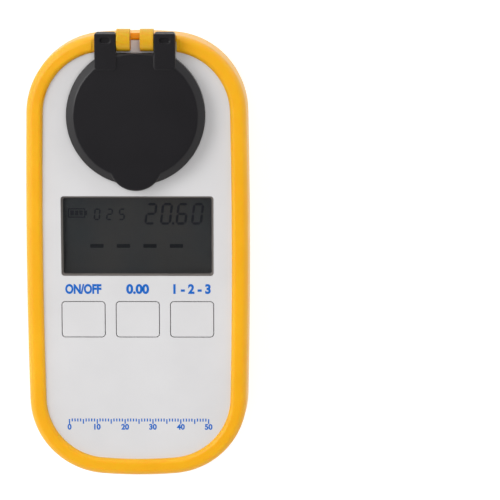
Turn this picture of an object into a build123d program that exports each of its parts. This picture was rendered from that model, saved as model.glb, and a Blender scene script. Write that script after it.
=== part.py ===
from build123d import *

import os
from math import cos, hypot, radians, sin, tan

# Handheld digital refractometer: a palm-sized meter with a flip lid over its sample well.
#
# The case is a rounded slab that lies on its flat back. A yellow surround frames a white face,
# which carries a display window, three flush keys and a raised well. A black lid hinges at the
# top edge and folds flat over the well. Under the face are the optical block with its prism, the
# display stack, the circuit board with one switch under each key, and a battery bay that opens
# through a screwed door in the back.
#
# Units are millimetres. +Z is up out of the face, +Y points to the hinge, the back lies on Z = 0
# and the origin is the middle of the whole part's footprint.

# Case outline, seen from above. Sides and ends bow outwards a little.
CASE_W = 58.8
CASE_L = 117.5
CORNER_R = 20.9
SIDE_BOW_R = 1700.0
END_BOW_R = 120.0
DRAFT = 0.45  # each outer wall leans in by this much away from the parting line

# Case heights and walls
PARTING_Z = 10.4
FACE_Z = 19.2
FACE_T = 2.0
WALL_T = 2.0
FLOOR_T = 2.0
BACK_EDGE_R = 2.6
PARTING_CHAMFER = 0.35
FIT = 0.15  # slip fit between case parts

# Yellow surround: the bead that stands round the white face
RIM_W = 4.7
RIM_RISE = 1.3
RIM_OUTER_R = 1.9
RIM_INNER_R = 1.2

# Locating tongue on the rear shell, and the seal and skirt above it
TONGUE_T = 1.0
TONGUE_H = 1.6
SEAL_T = 0.9
SEAL_H = 1.0
SKIRT_T = 1.5

# Lid, centred over the well
WELL_SETBACK = 19.5  # from the hinge axis to the middle of the well
LID_R = 17.95
LID_TOP_Z = 24.4
LID_PLATE_T = 1.6
LID_SKIRT_T = 1.4
LID_FACE_GAP = 0.7
LID_BEVEL_W = 1.9
LID_BEVEL_H = 1.2
LID_EDGE_R = 0.5
TAB_R = 7.0
TAB_REACH = 1.4
TAB_T = 2.4
TAB_BLEND_R = 1.5

# Hinge at the top edge
HINGE_SETBACK = 1.95  # from the top end of the case to the hinge axis
HINGE_Z = 22.2
KNUCKLE_R = 2.9
KNUCKLE_W = 3.45
KNUCKLE_GAP = 2.6
EYE_R = 2.15
ARM_W = 5.45
ARM_CORNER_R = 0.9
ARM_RISE = 0.4
ARM_DROP = 1.0
ARM_HEEL = 1.75  # top of the arm behind the hinge axis: it meets the slot's floor at full opening
ARM_HEEL_R = 0.25
ARM_REACH = 4.15  # how far the raised strap runs over the lid, from its straight edge
CHORD_GAP = 0.5  # between knuckles and the lid's straight edge
HINGE_CLEAR = 0.15
SLOT_CLEAR = 0.2
SLOT_STEP_W = 0.8  # shallow step beside each arm
SLOT_STEP_H = 0.2
GAP_RAMP_W = 1.4  # slope between the knuckles, out to the top end
GAP_RAMP_H = 1.5
PIN_R = 0.9
PIN_RUN_CLEAR = 0.05
PIN_END_WALL = 1.3
PIN_WINDOW_L = 2.8
PIN_WINDOW_W = 1.5
PIN_WINDOW_DEPTH = 0.8

# Well: collar, dish and prism window
COLLAR_LEDGE_W = 0.5  # how far the collar stands over the face, past its sleeve
COLLAR_RISE = 2.8
COLLAR_LIP_W = 2.7  # from the sleeve's outside in to the collar's mouth
COLLAR_LIP_T = 1.35
COLLAR_EDGE_R = 0.7
SLEEVE_T = 1.2
SLEEVE_R = 12.7
DISH_T = 0.9
DISH_NECK_R = 6.0
DISH_FLAT_R = 5.2
WINDOW_R = 4.4
WINDOW_Z = 17.5
LID_SEAL_W = 2.2
LID_SEAL_INSET = 0.7
LID_SEAL_GAP = 0.3

# Optical block under the well
BLOCK_W = 24.0
BLOCK_WALL = 1.6
BLOCK_FLANGE_Z = 13.8
BLOCK_TOP_Z = 15.4
BLOCK_BOTTOM_Z = 4.6
BLOCK_SENSOR_REACH = 12.7
BLOCK_LAMP_REACH = 15.3
BLOCK_COVER_T = 1.2
FLANGE_GAP = 0.3  # between the flange and the pillars of the high case screws
FLANGE_L = 27.0
FLANGE_CORNER_R = 5.0
OPTIC_SCREW_INSET = 2.4
OPTIC_SCREW_DY = 11.0
CEILING_Z = 13.2
DISH_WALL_T = 0.7
PRISM_TOP_L = 14.0
PRISM_BOTTOM_L = 6.4
PRISM_BOTTOM_Z = 7.0
BEAM_Z = 9.5
LENS_R = 3.3
LENS_T = 2.0
LENS_REACH = 7.3
LAMP_R = 2.4
LAMP_L = 6.0
SENSOR_W = 9.0
SENSOR_H = 4.0
SENSOR_T = 1.4
SENSOR_BOARD_W = 14.0
SENSOR_BOARD_H = 8.4
SENSOR_BOARD_T = 1.2
PRISM_SEAL_R = 0.5
PROBE_R = 0.9
PROBE_H = 1.9
PROBE_X = 8.0

# Display
WINDOW_W = 39.9
WINDOW_H = 21.0
WINDOW_Y = 5.5
WINDOW_CORNER_R = 0.8
LENS_PANE_T = 1.1
LENS_PANE_LIP = 1.2
PANE_CLEAR = 0.1
GLASS_LIP = 0.85  # how far the glass runs past the opening on each side
GLASS_T = 2.6
HOLDER_WALL = 1.0
STACK_GAP = 0.1
STRIP_W = 2.2

# Keys
KEY_W = 11.55
KEY_H = 9.65
KEY_PITCH = 14.25
KEY_Y = -16.55
KEY_CORNER_R = 1.0
KEY_GAP = 0.2
KEY_TOP_T = 1.4
KEY_FLANGE_W = 0.8
KEY_FLANGE_T = 0.75
KEY_FLANGE_GAP = 0.05
KEY_WALL = 1.2
SWITCH_W = 6.0
SWITCH_H = 3.5
PLUNGER_R = 1.6
PLUNGER_RISE = 0.8
PLUNGER_DEPTH = 0.6
PLUNGER_CLEAR = 0.1
SWITCH_BORE_DEPTH = 1.4

# Circuit board
BOARD_TOP_Z = 12.4
BOARD_T = 1.6
BOARD_SIDE_GAP = 4.2  # from the case's widest line in to the board
BOARD_BAY_GAP = 1.25
BOARD_FLANGE_GAP = 0.5
BOARD_NOTCH_W = 20.0
BOARD_NOTCH_GAP = 3.8  # room between the notch and the sensor board for the flat cable
BOARD_SCREW_INSET = 2.9  # from the board's side edge
BOARD_SCREW_LIFT = 2.3  # from the board's low edge
BOARD_SCREW_DROP = 2.5  # from the board's high edge
BOARD_SCREW_NOTCH_GAP = 5.5  # from the notch's side
BOARD_BOSS_R = 2.2
CHIP_W = 12.0
CHIP_T = 1.2
CHIP_Y = -5.0
PART_L = 2.4
PART_W = 1.4
PART_T = 1.0
PART_PITCH = 5.0
PART_ROW_GAP = 12.0
PART_ROW_SHIFT = 1.5
CONNECTOR_W = 10.0
CONNECTOR_D = 3.4
CONNECTOR_T = 2.0
CONNECTOR_INSET = 1.0
FLEX_W = 8.0
FLEX_T = 0.3
FLEX_EXIT = 1.5
BEND_SHARE = 0.45

# Case screws
CASE_SCREW_REACH = 14.5  # from the centre of the outline's corner
CASE_SCREW_LOW_ANGLE = 48.6  # degrees below the side, for the low pair
CASE_BOSS_R = 2.9
PAD_R = 3.9
PAD_TOP_Z = 4.6
COUNTERBORE_R = 2.2
COUNTERBORE_DEPTH = 2.2
CASE_SCREW_R = 1.0
CASE_SCREW_L = 11.0
CASE_HEAD_R = 1.9
CASE_HEAD_T = 1.2
BORE_CLEAR = 0.03
HOLE_CLEAR = 0.2
CROSS_L = 2.0
CROSS_W = 0.45
CROSS_DEPTH = 0.7

# Small screws for the board and the optical block
SMALL_SCREW_R = 0.9
SMALL_SCREW_L = 3.6
SMALL_HEAD_R = 1.7
SMALL_HEAD_T = 0.9
OPTIC_BOSS_R = 2.3

# Battery bay, across the case
CELL_R = 5.25
CELL_L = 44.5
CELL_NUB_R = 1.9
CELL_NUB_L = 1.2
CELL_CLEAR = 0.35
BAY_SETBACK = 24.5  # from the bottom end of the case to the cell's axis
BAY_WALL = 1.0
BAY_CEILING_T = 1.2
SPRING_L = 2.0
CONTACT_T = 0.4
CONTACT_W = 8.0
CONTACT_TAB_W = 3.0
CONTACT_TAB_RISE = 1.0
LEAD_R = 0.5
LEAD_GAP = 0.05
LEAD_PAD_X = 17.0
LEAD_PAD_LIFT = 1.6  # from the board's low edge

# Battery door in the back: a plate with a screw lug at each long edge, on a rubber gasket
DOOR_T = 1.6
DOOR_INSET = 0.15
DOOR_GAP = 0.25
DOOR_LEDGE = 1.0
DOOR_CORNER_R = 2.0
DOOR_SEAL_T = 0.5
DOOR_SEAL_INSET = 0.2
DOOR_PAD_W = 1.0
DOOR_PAD_T = 1.2
LUG_W = 9.0
LUG_L = 6.0
LUG_CORNER_R = 2.25
LUG_SCREW_L = 3.0
LUG_BOSS_R = 2.4
LUG_BOSS_GAP = 0.05
DOOR_SCREW_R = 1.0
DOOR_SCREW_L = 4.4
DOOR_HEAD_R = 1.9
DOOR_HEAD_T = 0.9
INSERT_R = 1.7
INSERT_L = 3.6
INSERT_BOSS_WALL = 1.2
RIB_X = 9.0
RIB_T = 1.2
RIB_W = 7.6

# Shallow recess for a plain label on the back
LABEL_W = 34.0
LABEL_L = 24.0
LABEL_Y = 10.0
LABEL_DEPTH = 0.25
LABEL_CORNER_R = 2.0

# Worked-out places
CASE_TOP_Y = CASE_L / 2
HINGE_Y = CASE_TOP_Y - HINGE_SETBACK
WELL_Y = HINGE_Y - WELL_SETBACK
BAY_Y = BAY_SETBACK - CASE_TOP_Y
OVERHANG = max(0.0, HINGE_Y + KNUCKLE_R - CASE_TOP_Y)
CASE_Y = -OVERHANG / 2  # puts the origin in the middle of the footprint
RIM_Z = FACE_Z + RIM_RISE
PLATE_Z = FACE_Z - FACE_T
TONGUE_IN = WALL_T + FIT
TONGUE_TOP_Z = PARTING_Z + TONGUE_H
SKIRT_BOTTOM_Z = TONGUE_TOP_Z + SEAL_H
KNUCKLE_IN = KNUCKLE_GAP / 2
KNUCKLE_OUT = KNUCKLE_IN + KNUCKLE_W
ARM_IN = KNUCKLE_OUT + HINGE_CLEAR
ARM_OUT = ARM_IN + ARM_W
ARM_TOP_Z = LID_TOP_Z + ARM_RISE
LID_CHORD_Y = HINGE_Y - KNUCKLE_R - CHORD_GAP
LID_SKIRT_Z = FACE_Z + LID_FACE_GAP
LID_UNDER_Z = LID_TOP_Z - LID_PLATE_T
COLLAR_TOP_Z = FACE_Z + COLLAR_RISE
COLLAR_R = SLEEVE_R + COLLAR_LEDGE_W
COLLAR_LIP_R = SLEEVE_R - COLLAR_LIP_W
DISH_RIM_Z = COLLAR_TOP_Z - COLLAR_LIP_T
DISH_RIM_R = SLEEVE_R - SLEEVE_T - 0.1
NECK_Z = BLOCK_TOP_Z + 2 * PRISM_SEAL_R
BLOCK_LOW_Y = WELL_Y - BLOCK_SENSOR_REACH
BLOCK_HIGH_Y = WELL_Y + BLOCK_LAMP_REACH
BOARD_Z = BOARD_TOP_Z - BOARD_T
GLASS_W = WINDOW_W + 2 * GLASS_LIP
GLASS_H = WINDOW_H + 2 * GLASS_LIP
GLASS_TOP_Z = PLATE_Z - STACK_GAP
GLASS_Z = GLASS_TOP_Z - GLASS_T
SWITCH_TOP_Z = BOARD_TOP_Z + SWITCH_H
PLUNGER_TOP_Z = SWITCH_TOP_Z + PLUNGER_RISE
CELL_Z = FLOOR_T + CELL_CLEAR + CELL_R
BAY_TOP_Z = CELL_Z + CELL_R + CELL_CLEAR
BAY_HALF_L = (CELL_L + SPRING_L + 2 * CONTACT_T) / 2
BAY_HALF_W = CELL_R + CELL_CLEAR * 2
CELL_HIGH_X = BAY_HALF_L - CONTACT_T
CELL_LOW_X = CELL_HIGH_X - CELL_L
DOOR_HALF_L = BAY_HALF_L + DOOR_LEDGE
DOOR_HALF_W = BAY_HALF_W + DOOR_LEDGE
DOOR_TOP_Z = DOOR_INSET + DOOR_T
LEDGE_Z = DOOR_TOP_Z + DOOR_SEAL_T
DOOR_SCREWS_Y = [BAY_Y - DOOR_HALF_W - LUG_SCREW_L, BAY_Y + DOOR_HALF_W + LUG_SCREW_L]
BOARD_HALF_W = CASE_W / 2 - BOARD_SIDE_GAP
BOARD_LOW_Y = BAY_Y + BAY_HALF_W + BAY_WALL + BOARD_BAY_GAP
BOARD_HIGH_Y = WELL_Y - FLANGE_L / 2 - BOARD_FLANGE_GAP
BOARD_NOTCH_Y = BLOCK_LOW_Y - SENSOR_BOARD_T - BOARD_NOTCH_GAP
KEYS = {"read": -KEY_PITCH, "calibrate": 0.0, "scale": KEY_PITCH}


def corner_centre():
    """Centre of the outline's corner circle, which touches the side bow and the end bow."""
    side_x, side_r = CASE_W / 2 - SIDE_BOW_R, SIDE_BOW_R - CORNER_R
    end_y, end_r = CASE_L / 2 - END_BOW_R, END_BOW_R - CORNER_R
    gap = hypot(side_x, end_y)
    along = (side_r**2 - end_r**2 + gap**2) / (2 * gap)
    across = (side_r**2 - along**2) ** 0.5
    unit_x, unit_y = -side_x / gap, end_y / gap
    return side_x + along * unit_x - across * unit_y, along * unit_y + across * unit_x


def outline(inset=0.0, z=0.0):
    """Face bounded by the case outline moved inwards by inset, as eight tangent arcs."""
    cx, cy = corner_centre()
    side_x, end_y = CASE_W / 2 - SIDE_BOW_R, CASE_L / 2 - END_BOW_R
    side_gap, end_gap = hypot(cx - side_x, cy), hypot(cx, cy - end_y)
    r = CORNER_R - inset
    side = (cx + r * (cx - side_x) / side_gap, cy + r * cy / side_gap)
    end = (cx + r * cx / end_gap, cy + r * (cy - end_y) / end_gap)
    lean_x, lean_y = side[0] + end[0] - 2 * cx, side[1] + end[1] - 2 * cy
    lean = hypot(lean_x, lean_y)
    mid = (cx + r * lean_x / lean, cy + r * lean_y / lean)
    half_w, half_l = CASE_W / 2 - inset, CASE_L / 2 - inset
    edges = [
        ThreePointArc((side[0], -side[1]), (half_w, 0), side),
        ThreePointArc(side, mid, end),
        ThreePointArc(end, (0, half_l), (-end[0], end[1])),
        ThreePointArc((-end[0], end[1]), (-mid[0], mid[1]), (-side[0], side[1])),
        ThreePointArc((-side[0], side[1]), (-half_w, 0), (-side[0], -side[1])),
        ThreePointArc((-side[0], -side[1]), (-mid[0], -mid[1]), (-end[0], -end[1])),
        ThreePointArc((-end[0], -end[1]), (0, -half_l), (end[0], -end[1])),
        ThreePointArc((end[0], -end[1]), (mid[0], -mid[1]), (side[0], -side[1])),
    ]
    return Pos(0, 0, z) * make_face(edges)


def slab(inset, low, high):
    """Straight-sided block of the case outline."""
    return extrude(outline(inset, low), high - low)


def drafted(inset_low, low, inset_high, high):
    """Block of the case outline whose walls lean between two insets."""
    return loft([outline(inset_low, low), outline(inset_high, high)], ruled=True)


def band(inset_out, inset_in, low, high):
    """Closed band that follows the case outline."""
    return slab(inset_out, low, high) - slab(inset_in, low, high)


def block(x_low, x_high, y_low, y_high, z_low, z_high):
    """Box between two corners."""
    size = (x_high - x_low, y_high - y_low, z_high - z_low)
    place = ((x_low + x_high) / 2, (y_low + y_high) / 2, (z_low + z_high) / 2)
    return Pos(*place) * Box(*size)


def plate(width, height, corner, x, y, z_low, z_high):
    """Rounded plate with upright edges."""
    face = Pos(x, y, z_low) * RectangleRounded(width, height, corner)
    return extrude(face, z_high - z_low)


def post(radius, x, y, z_low, z_high):
    """Upright cylinder."""
    return Pos(x, y, (z_low + z_high) / 2) * Cylinder(radius, z_high - z_low)


def rod_x(radius, x_low, x_high, y, z):
    """Cylinder along X."""
    return Pos((x_low + x_high) / 2, y, z) * Rot(0, 90, 0) * Cylinder(radius, x_high - x_low)


def rod_y(radius, x, y_low, y_high, z):
    """Cylinder along Y."""
    return Pos(x, (y_low + y_high) / 2, z) * Rot(90, 0, 0) * Cylinder(radius, y_high - y_low)


def turned(points, x, y):
    """Solid of revolution about an upright axis, from (radius, height) points."""
    section = Plane.XZ * make_face(Polyline(*points, close=True))
    return Pos(x, y, 0) * revolve(section, Axis.Z)


def both(shape):
    """A shape and its mirror image across the case's centre line."""
    return [shape, mirror(shape, Plane.YZ)]


def group(shapes):
    """Separate solids kept as one piece of the model."""
    return Compound([solid for shape in shapes for solid in shape.solids()])


def screw_points():
    """Places of the four case screws, each at one reach from the centre of its corner."""
    cx, cy = corner_centre()
    angle = radians(CASE_SCREW_LOW_ANGLE)
    high = (cx + CASE_SCREW_REACH, cy)
    low = (cx + CASE_SCREW_REACH * cos(angle), -cy - CASE_SCREW_REACH * sin(angle))
    return [(sign * x, y) for x, y in (high, low) for sign in (1, -1)]


def board_points():
    """Places of the four circuit board screws."""
    low = (BOARD_HALF_W - BOARD_SCREW_INSET, BOARD_LOW_Y + BOARD_SCREW_LIFT)
    high = (BOARD_NOTCH_W / 2 + BOARD_SCREW_NOTCH_GAP, BOARD_HIGH_Y - BOARD_SCREW_DROP)
    return [(sign * x, y) for x, y in (low, high) for sign in (1, -1)]


def flange_half_w():
    """Half the width of the optical block's flange, which fits between the high case screws."""
    return screw_points()[0][0] - CASE_BOSS_R - FLANGE_GAP


def optic_points():
    """Places of the four optical block screws."""
    x = flange_half_w() - OPTIC_SCREW_INSET
    return [(sign * x, WELL_Y + dy) for dy in (OPTIC_SCREW_DY, -OPTIC_SCREW_DY) for sign in (1, -1)]


def cross_screw(x, y, head_z, head_r, head_t, shank_r, shank_l, cross_l):
    """Cross-recess screw that points up, with the outer face of its head at head_z."""
    head = post(head_r, x, y, head_z, head_z + head_t)
    head = chamfer(head.edges().sort_by(Axis.Z)[0], head_t / 4)
    screw = head + post(shank_r, x, y, head_z + head_t, head_z + head_t + shank_l)
    half_l, half_w, depth = cross_l / 2, CROSS_W / 2, CROSS_DEPTH
    screw -= block(x - half_l, x + half_l, y - half_w, y + half_w, head_z, head_z + depth)
    screw -= block(x - half_w, x + half_w, y - half_l, y + half_l, head_z, head_z + depth)
    return screw


def lid_slot(low_y, high_y):
    """Room cut through the bead for the knuckles and the lid's arms, stepped at the top."""
    half = ARM_OUT + SLOT_CLEAR
    slot = block(-half, half, low_y, high_y, FACE_Z, RIM_Z)
    half += SLOT_STEP_W
    return slot + block(-half, half, low_y, high_y, RIM_Z - SLOT_STEP_H, RIM_Z)


def gap_ramp():
    """Wedge taken off the top end between the knuckles, so that the gap slopes outwards."""
    high_y = CASE_TOP_Y - DRAFT / 2
    section = Polyline(
        (high_y - GAP_RAMP_W, FACE_Z),
        (CASE_TOP_Y, FACE_Z),
        (CASE_TOP_Y, FACE_Z - GAP_RAMP_H),
        (high_y, FACE_Z - GAP_RAMP_H),
        close=True,
    )
    return Pos(-KNUCKLE_IN, 0, 0) * extrude(Plane.YZ * make_face(section), KNUCKLE_GAP)


def surround():
    """Yellow frame round the face, with the bead, the lid's two slots and two hinge knuckles."""
    body = drafted(0, PARTING_Z, DRAFT, RIM_Z)
    body -= slab(RIM_W, FACE_Z, RIM_Z)
    top = body.faces().sort_by(Axis.Z)[-1]
    body = fillet(top.outer_wire().edges(), RIM_OUTER_R)
    top = body.faces().filter_by(Plane.XY).sort_by(Axis.Z)[-1]
    body = fillet(top.inner_wires()[0].edges(), RIM_INNER_R)
    body = chamfer(body.faces().sort_by(Axis.Z)[0].outer_wire().edges(), PARTING_CHAMFER)
    body -= slab(WALL_T, PARTING_Z, FACE_Z)
    reach_y = (HINGE_Y - KNUCKLE_R, HINGE_Y + KNUCKLE_R)
    body -= lid_slot(reach_y[0] - RIM_W, reach_y[1])
    body -= gap_ramp()
    knuckle = rod_x(KNUCKLE_R, KNUCKLE_IN, KNUCKLE_OUT, HINGE_Y, HINGE_Z)
    neck_y = CASE_TOP_Y - RIM_W
    knuckle += block(KNUCKLE_IN, KNUCKLE_OUT, neck_y, CASE_TOP_Y - DRAFT, FACE_Z, HINGE_Z)
    knuckle -= rod_x(PIN_R + PIN_RUN_CLEAR, pin_low_x(), KNUCKLE_OUT, HINGE_Y, HINGE_Z)
    for part in both(knuckle):
        body += part
    return body


def pin_low_x():
    """Inner end of the blind hole in each knuckle."""
    return KNUCKLE_OUT - (KNUCKLE_W - PIN_END_WALL)


def front_shell():
    """White face plate with its skirt, openings, bosses and screw pillars."""
    shell = slab(WALL_T + FIT, PLATE_Z, FACE_Z)
    shell += band(WALL_T + FIT, WALL_T + FIT + SKIRT_T, SKIRT_BOTTOM_Z, PLATE_Z)
    shell -= plate(WINDOW_W, WINDOW_H, WINDOW_CORNER_R, 0, WINDOW_Y, PLATE_Z, FACE_Z)
    pocket_w, pocket_h = WINDOW_W + 2 * LENS_PANE_LIP, WINDOW_H + 2 * LENS_PANE_LIP
    pocket_top = PLATE_Z + LENS_PANE_T
    shell -= plate(pocket_w, pocket_h, WINDOW_CORNER_R, 0, WINDOW_Y, PLATE_Z, pocket_top)
    for x in KEYS.values():
        shell -= plate(KEY_W, KEY_H, KEY_CORNER_R, x, KEY_Y, PLATE_Z, FACE_Z)
    shell -= post(SLEEVE_R + FIT, 0, WELL_Y, PLATE_Z, FACE_Z)
    for x, y in screw_points():
        shell += post(CASE_BOSS_R, x, y, PAD_TOP_Z, PLATE_Z)
        shell -= post(CASE_SCREW_R + BORE_CLEAR, x, y, PAD_TOP_Z, PLATE_Z - 1)
    for x, y in board_points():
        shell += post(BOARD_BOSS_R, x, y, BOARD_TOP_Z, PLATE_Z)
        shell -= post(SMALL_SCREW_R + BORE_CLEAR, x, y, BOARD_TOP_Z, PLATE_Z - 0.6)
    for x, y in optic_points():
        shell += post(OPTIC_BOSS_R, x, y, BLOCK_TOP_Z, PLATE_Z)
        shell -= post(SMALL_SCREW_R + BORE_CLEAR, x, y, BLOCK_TOP_Z, PLATE_Z + FACE_T / 2)
    return shell


def door_outline(grow, low, high):
    """The battery door's plan shape, grown by a gap: the plate and its two screw lugs."""
    width, height = 2 * (DOOR_HALF_L + grow), 2 * (DOOR_HALF_W + grow)
    shape = plate(width, height, DOOR_CORNER_R + grow, 0, BAY_Y, low, high)
    lug_w, lug_l = LUG_W + 2 * grow, 2 * (DOOR_HALF_W + LUG_L + grow)
    return shape + plate(lug_w, lug_l, LUG_CORNER_R + grow, 0, BAY_Y, low, high)


def rear_shell():
    """Yellow rear shell with its tongue, screw pads, battery bay and door seat."""
    shell = drafted(DRAFT, 0, 0, PARTING_Z)
    shell = fillet(shell.faces().sort_by(Axis.Z)[0].outer_wire().edges(), BACK_EDGE_R)
    shell = chamfer(shell.faces().sort_by(Axis.Z)[-1].outer_wire().edges(), PARTING_CHAMFER)
    shell -= slab(WALL_T + DRAFT, FLOOR_T, PARTING_Z)
    tongue_low = PARTING_Z - TONGUE_H
    shell += band(TONGUE_IN, TONGUE_IN + TONGUE_T, tongue_low, TONGUE_TOP_Z)
    shell += band(WALL_T - FIT, TONGUE_IN + TONGUE_T, tongue_low, PARTING_Z - TONGUE_H / 2)
    for x, y in screw_points():
        shell += post(PAD_R, x, y, FLOOR_T, PAD_TOP_Z)
        shell -= post(COUNTERBORE_R, x, y, 0, COUNTERBORE_DEPTH)
        shell -= post(CASE_SCREW_R + HOLE_CLEAR, x, y, COUNTERBORE_DEPTH, PAD_TOP_Z)
    out_l, out_w = BAY_HALF_L + BAY_WALL, BAY_HALF_W + BAY_WALL
    bay_roof = BAY_TOP_Z + BAY_CEILING_T
    shell += block(-out_l, out_l, BAY_Y - out_w, BAY_Y + out_w, FLOOR_T, bay_roof)
    shell += door_outline(DOOR_GAP + DOOR_PAD_W, FLOOR_T, LEDGE_Z + DOOR_PAD_T)
    for y in DOOR_SCREWS_Y:
        shell += post(INSERT_R + INSERT_BOSS_WALL, 0, y, FLOOR_T, LEDGE_Z + INSERT_L + INSERT_BOSS_WALL)
    low_y, high_y = BAY_Y - BAY_HALF_W, BAY_Y + BAY_HALF_W
    shell -= block(-BAY_HALF_L, BAY_HALF_L, low_y, high_y, LEDGE_Z, BAY_TOP_Z)
    shell -= door_outline(DOOR_GAP, 0, LEDGE_Z)
    for y in DOOR_SCREWS_Y:
        shell -= post(INSERT_R, 0, y, LEDGE_Z, LEDGE_Z + INSERT_L)
    half_tab = CONTACT_TAB_W / 2 + FIT
    for low_x in (-BAY_HALF_L, BAY_HALF_L - CONTACT_T - FIT):
        high_x = low_x + CONTACT_T + FIT
        shell -= block(low_x, high_x, BAY_Y - half_tab, BAY_Y + half_tab, BAY_TOP_Z, bay_roof)
    return shell - plate(LABEL_W, LABEL_L, LABEL_CORNER_R, 0, LABEL_Y, 0, LABEL_DEPTH)


def battery_door():
    """Door with a screw lug at each long edge and two ribs that steady the cell."""
    door = door_outline(0, DOOR_INSET, DOOR_TOP_Z)
    for y in DOOR_SCREWS_Y:
        door += post(LUG_BOSS_R, 0, y, DOOR_TOP_Z, LEDGE_Z - LUG_BOSS_GAP)
        door -= post(DOOR_SCREW_R + HOLE_CLEAR, 0, y, DOOR_INSET, LEDGE_Z)
        door -= post(DOOR_HEAD_R + HOLE_CLEAR, 0, y, DOOR_INSET, DOOR_INSET + DOOR_HEAD_T)
    for x in (RIB_X, -RIB_X):
        low_x, high_x = x - RIB_T / 2, x + RIB_T / 2
        rib = block(low_x, high_x, BAY_Y - RIB_W / 2, BAY_Y + RIB_W / 2, DOOR_TOP_Z, CELL_Z)
        door += rib - rod_x(CELL_R + CELL_CLEAR, low_x, high_x, BAY_Y, CELL_Z)
    return door


def door_seal():
    """Flat rubber gasket between the door and the ledge round the bay."""
    width, height = 2 * (DOOR_HALF_L - DOOR_SEAL_INSET), 2 * (DOOR_HALF_W - DOOR_SEAL_INSET)
    ring = plate(width, height, DOOR_CORNER_R - DOOR_SEAL_INSET, 0, BAY_Y, DOOR_TOP_Z, LEDGE_Z)
    half_l, half_w = BAY_HALF_L + DOOR_SEAL_INSET / 2, BAY_HALF_W + DOOR_SEAL_INSET / 2
    return ring - block(-half_l, half_l, BAY_Y - half_w, BAY_Y + half_w, DOOR_TOP_Z, LEDGE_Z)


def case_seal():
    """Rubber cord squeezed between the rear shell's tongue and the front shell's skirt."""
    return band(TONGUE_IN + 0.05, TONGUE_IN + 0.05 + SEAL_T, TONGUE_TOP_Z, SKIRT_BOTTOM_Z)


def lid_plan(inset, low, high):
    """The lid's disc moved inwards by inset, cut straight on the hinge side."""
    disc = post(LID_R - inset, 0, WELL_Y, low, high)
    return disc - block(-LID_R, LID_R, LID_CHORD_Y - inset, HINGE_Y + LID_R, low, high)


def lid_disc():
    """The lid's bevelled disc with its thumb tab, cut straight on the hinge side."""
    bevel_z = LID_TOP_Z - LID_BEVEL_H
    edge = Polyline(
        (0, LID_SKIRT_Z),
        (LID_R, LID_SKIRT_Z),
        (LID_R, bevel_z),
        (LID_R - LID_BEVEL_W, LID_TOP_Z),
        (0, LID_TOP_Z),
        close=True,
    )
    section = make_face(edge)
    bevel_corners = section.vertices().sort_by(Axis.X)[-3:].sort_by(Axis.Y)[-2:]
    disc = Pos(0, WELL_Y, 0) * revolve(Plane.XZ * fillet(bevel_corners, LID_EDGE_R), Axis.Z)
    tab_y = WELL_Y - LID_R - TAB_REACH + TAB_R
    tab_low = LID_TOP_Z - TAB_T
    foot = post(LID_R, 0, WELL_Y, tab_low, bevel_z) + post(TAB_R, 0, tab_y, tab_low, bevel_z)
    corners = foot.edges().filter_by(Axis.Z).filter_by(lambda edge: edge.center().Y < tab_y)
    disc += fillet(corners, TAB_BLEND_R)
    tab = post(TAB_R, 0, tab_y, tab_low, LID_TOP_Z)
    disc += fillet(tab.edges().group_by(Axis.Z)[-1], LID_EDGE_R)
    return disc - block(-LID_R, LID_R, LID_CHORD_Y, HINGE_Y + LID_R, LID_SKIRT_Z, LID_TOP_Z)


def lid_arm():
    """Right-hand hinge arm: a strap over the lid, an eye with a blind pin hole, and a heel."""
    strap_y = LID_CHORD_Y - ARM_REACH
    heel_y = HINGE_Y + ARM_HEEL
    arm = block(ARM_IN, ARM_OUT, strap_y, HINGE_Y, HINGE_Z - ARM_DROP, ARM_TOP_Z)
    heel = block(ARM_IN, ARM_OUT, HINGE_Y - EYE_R, heel_y, HINGE_Z, ARM_TOP_Z)
    heel_edges = heel.edges().filter_by(Axis.X).group_by(Axis.Y)[-1]
    arm += fillet(heel_edges.sort_by(Axis.Z)[-1], ARM_HEEL_R)
    arm += rod_x(EYE_R, ARM_IN, ARM_OUT, HINGE_Y, HINGE_Z)
    middle_x, middle_y = (ARM_IN + ARM_OUT) / 2, (strap_y + HINGE_Y + EYE_R) / 2
    length = HINGE_Y + EYE_R - strap_y
    arm &= plate(ARM_W, length, ARM_CORNER_R, middle_x, middle_y, HINGE_Z - EYE_R, ARM_TOP_Z)
    arm -= rod_x(PIN_R, ARM_IN, ARM_OUT - PIN_END_WALL, HINGE_Y, HINGE_Z)
    window = Pos(middle_x, HINGE_Y, ARM_TOP_Z - PIN_WINDOW_DEPTH)
    return arm - extrude(window * SlotOverall(PIN_WINDOW_L, PIN_WINDOW_W), PIN_WINDOW_DEPTH)


def lid_shell():
    """Black lid: the hollow disc with its tab, and the two hinge arms."""
    lid = lid_disc()
    for arm in both(lid_arm()):
        lid += arm
    return lid - lid_plan(LID_SKIRT_T, LID_SKIRT_Z, LID_UNDER_Z)


def hinge_pin():
    """Steel pin pressed into a lid arm and free to turn in the knuckle."""
    return rod_x(PIN_R, pin_low_x() + 0.1, ARM_OUT - PIN_END_WALL, HINGE_Y, HINGE_Z)


def lid_seal():
    """Rubber ring under the lid that lies over the collar."""
    outer = COLLAR_R - LID_SEAL_INSET
    ring = post(outer, 0, WELL_Y, COLLAR_TOP_Z + LID_SEAL_GAP, LID_UNDER_Z)
    return ring - post(outer - LID_SEAL_W, 0, WELL_Y, COLLAR_TOP_Z, LID_UNDER_Z)


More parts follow.
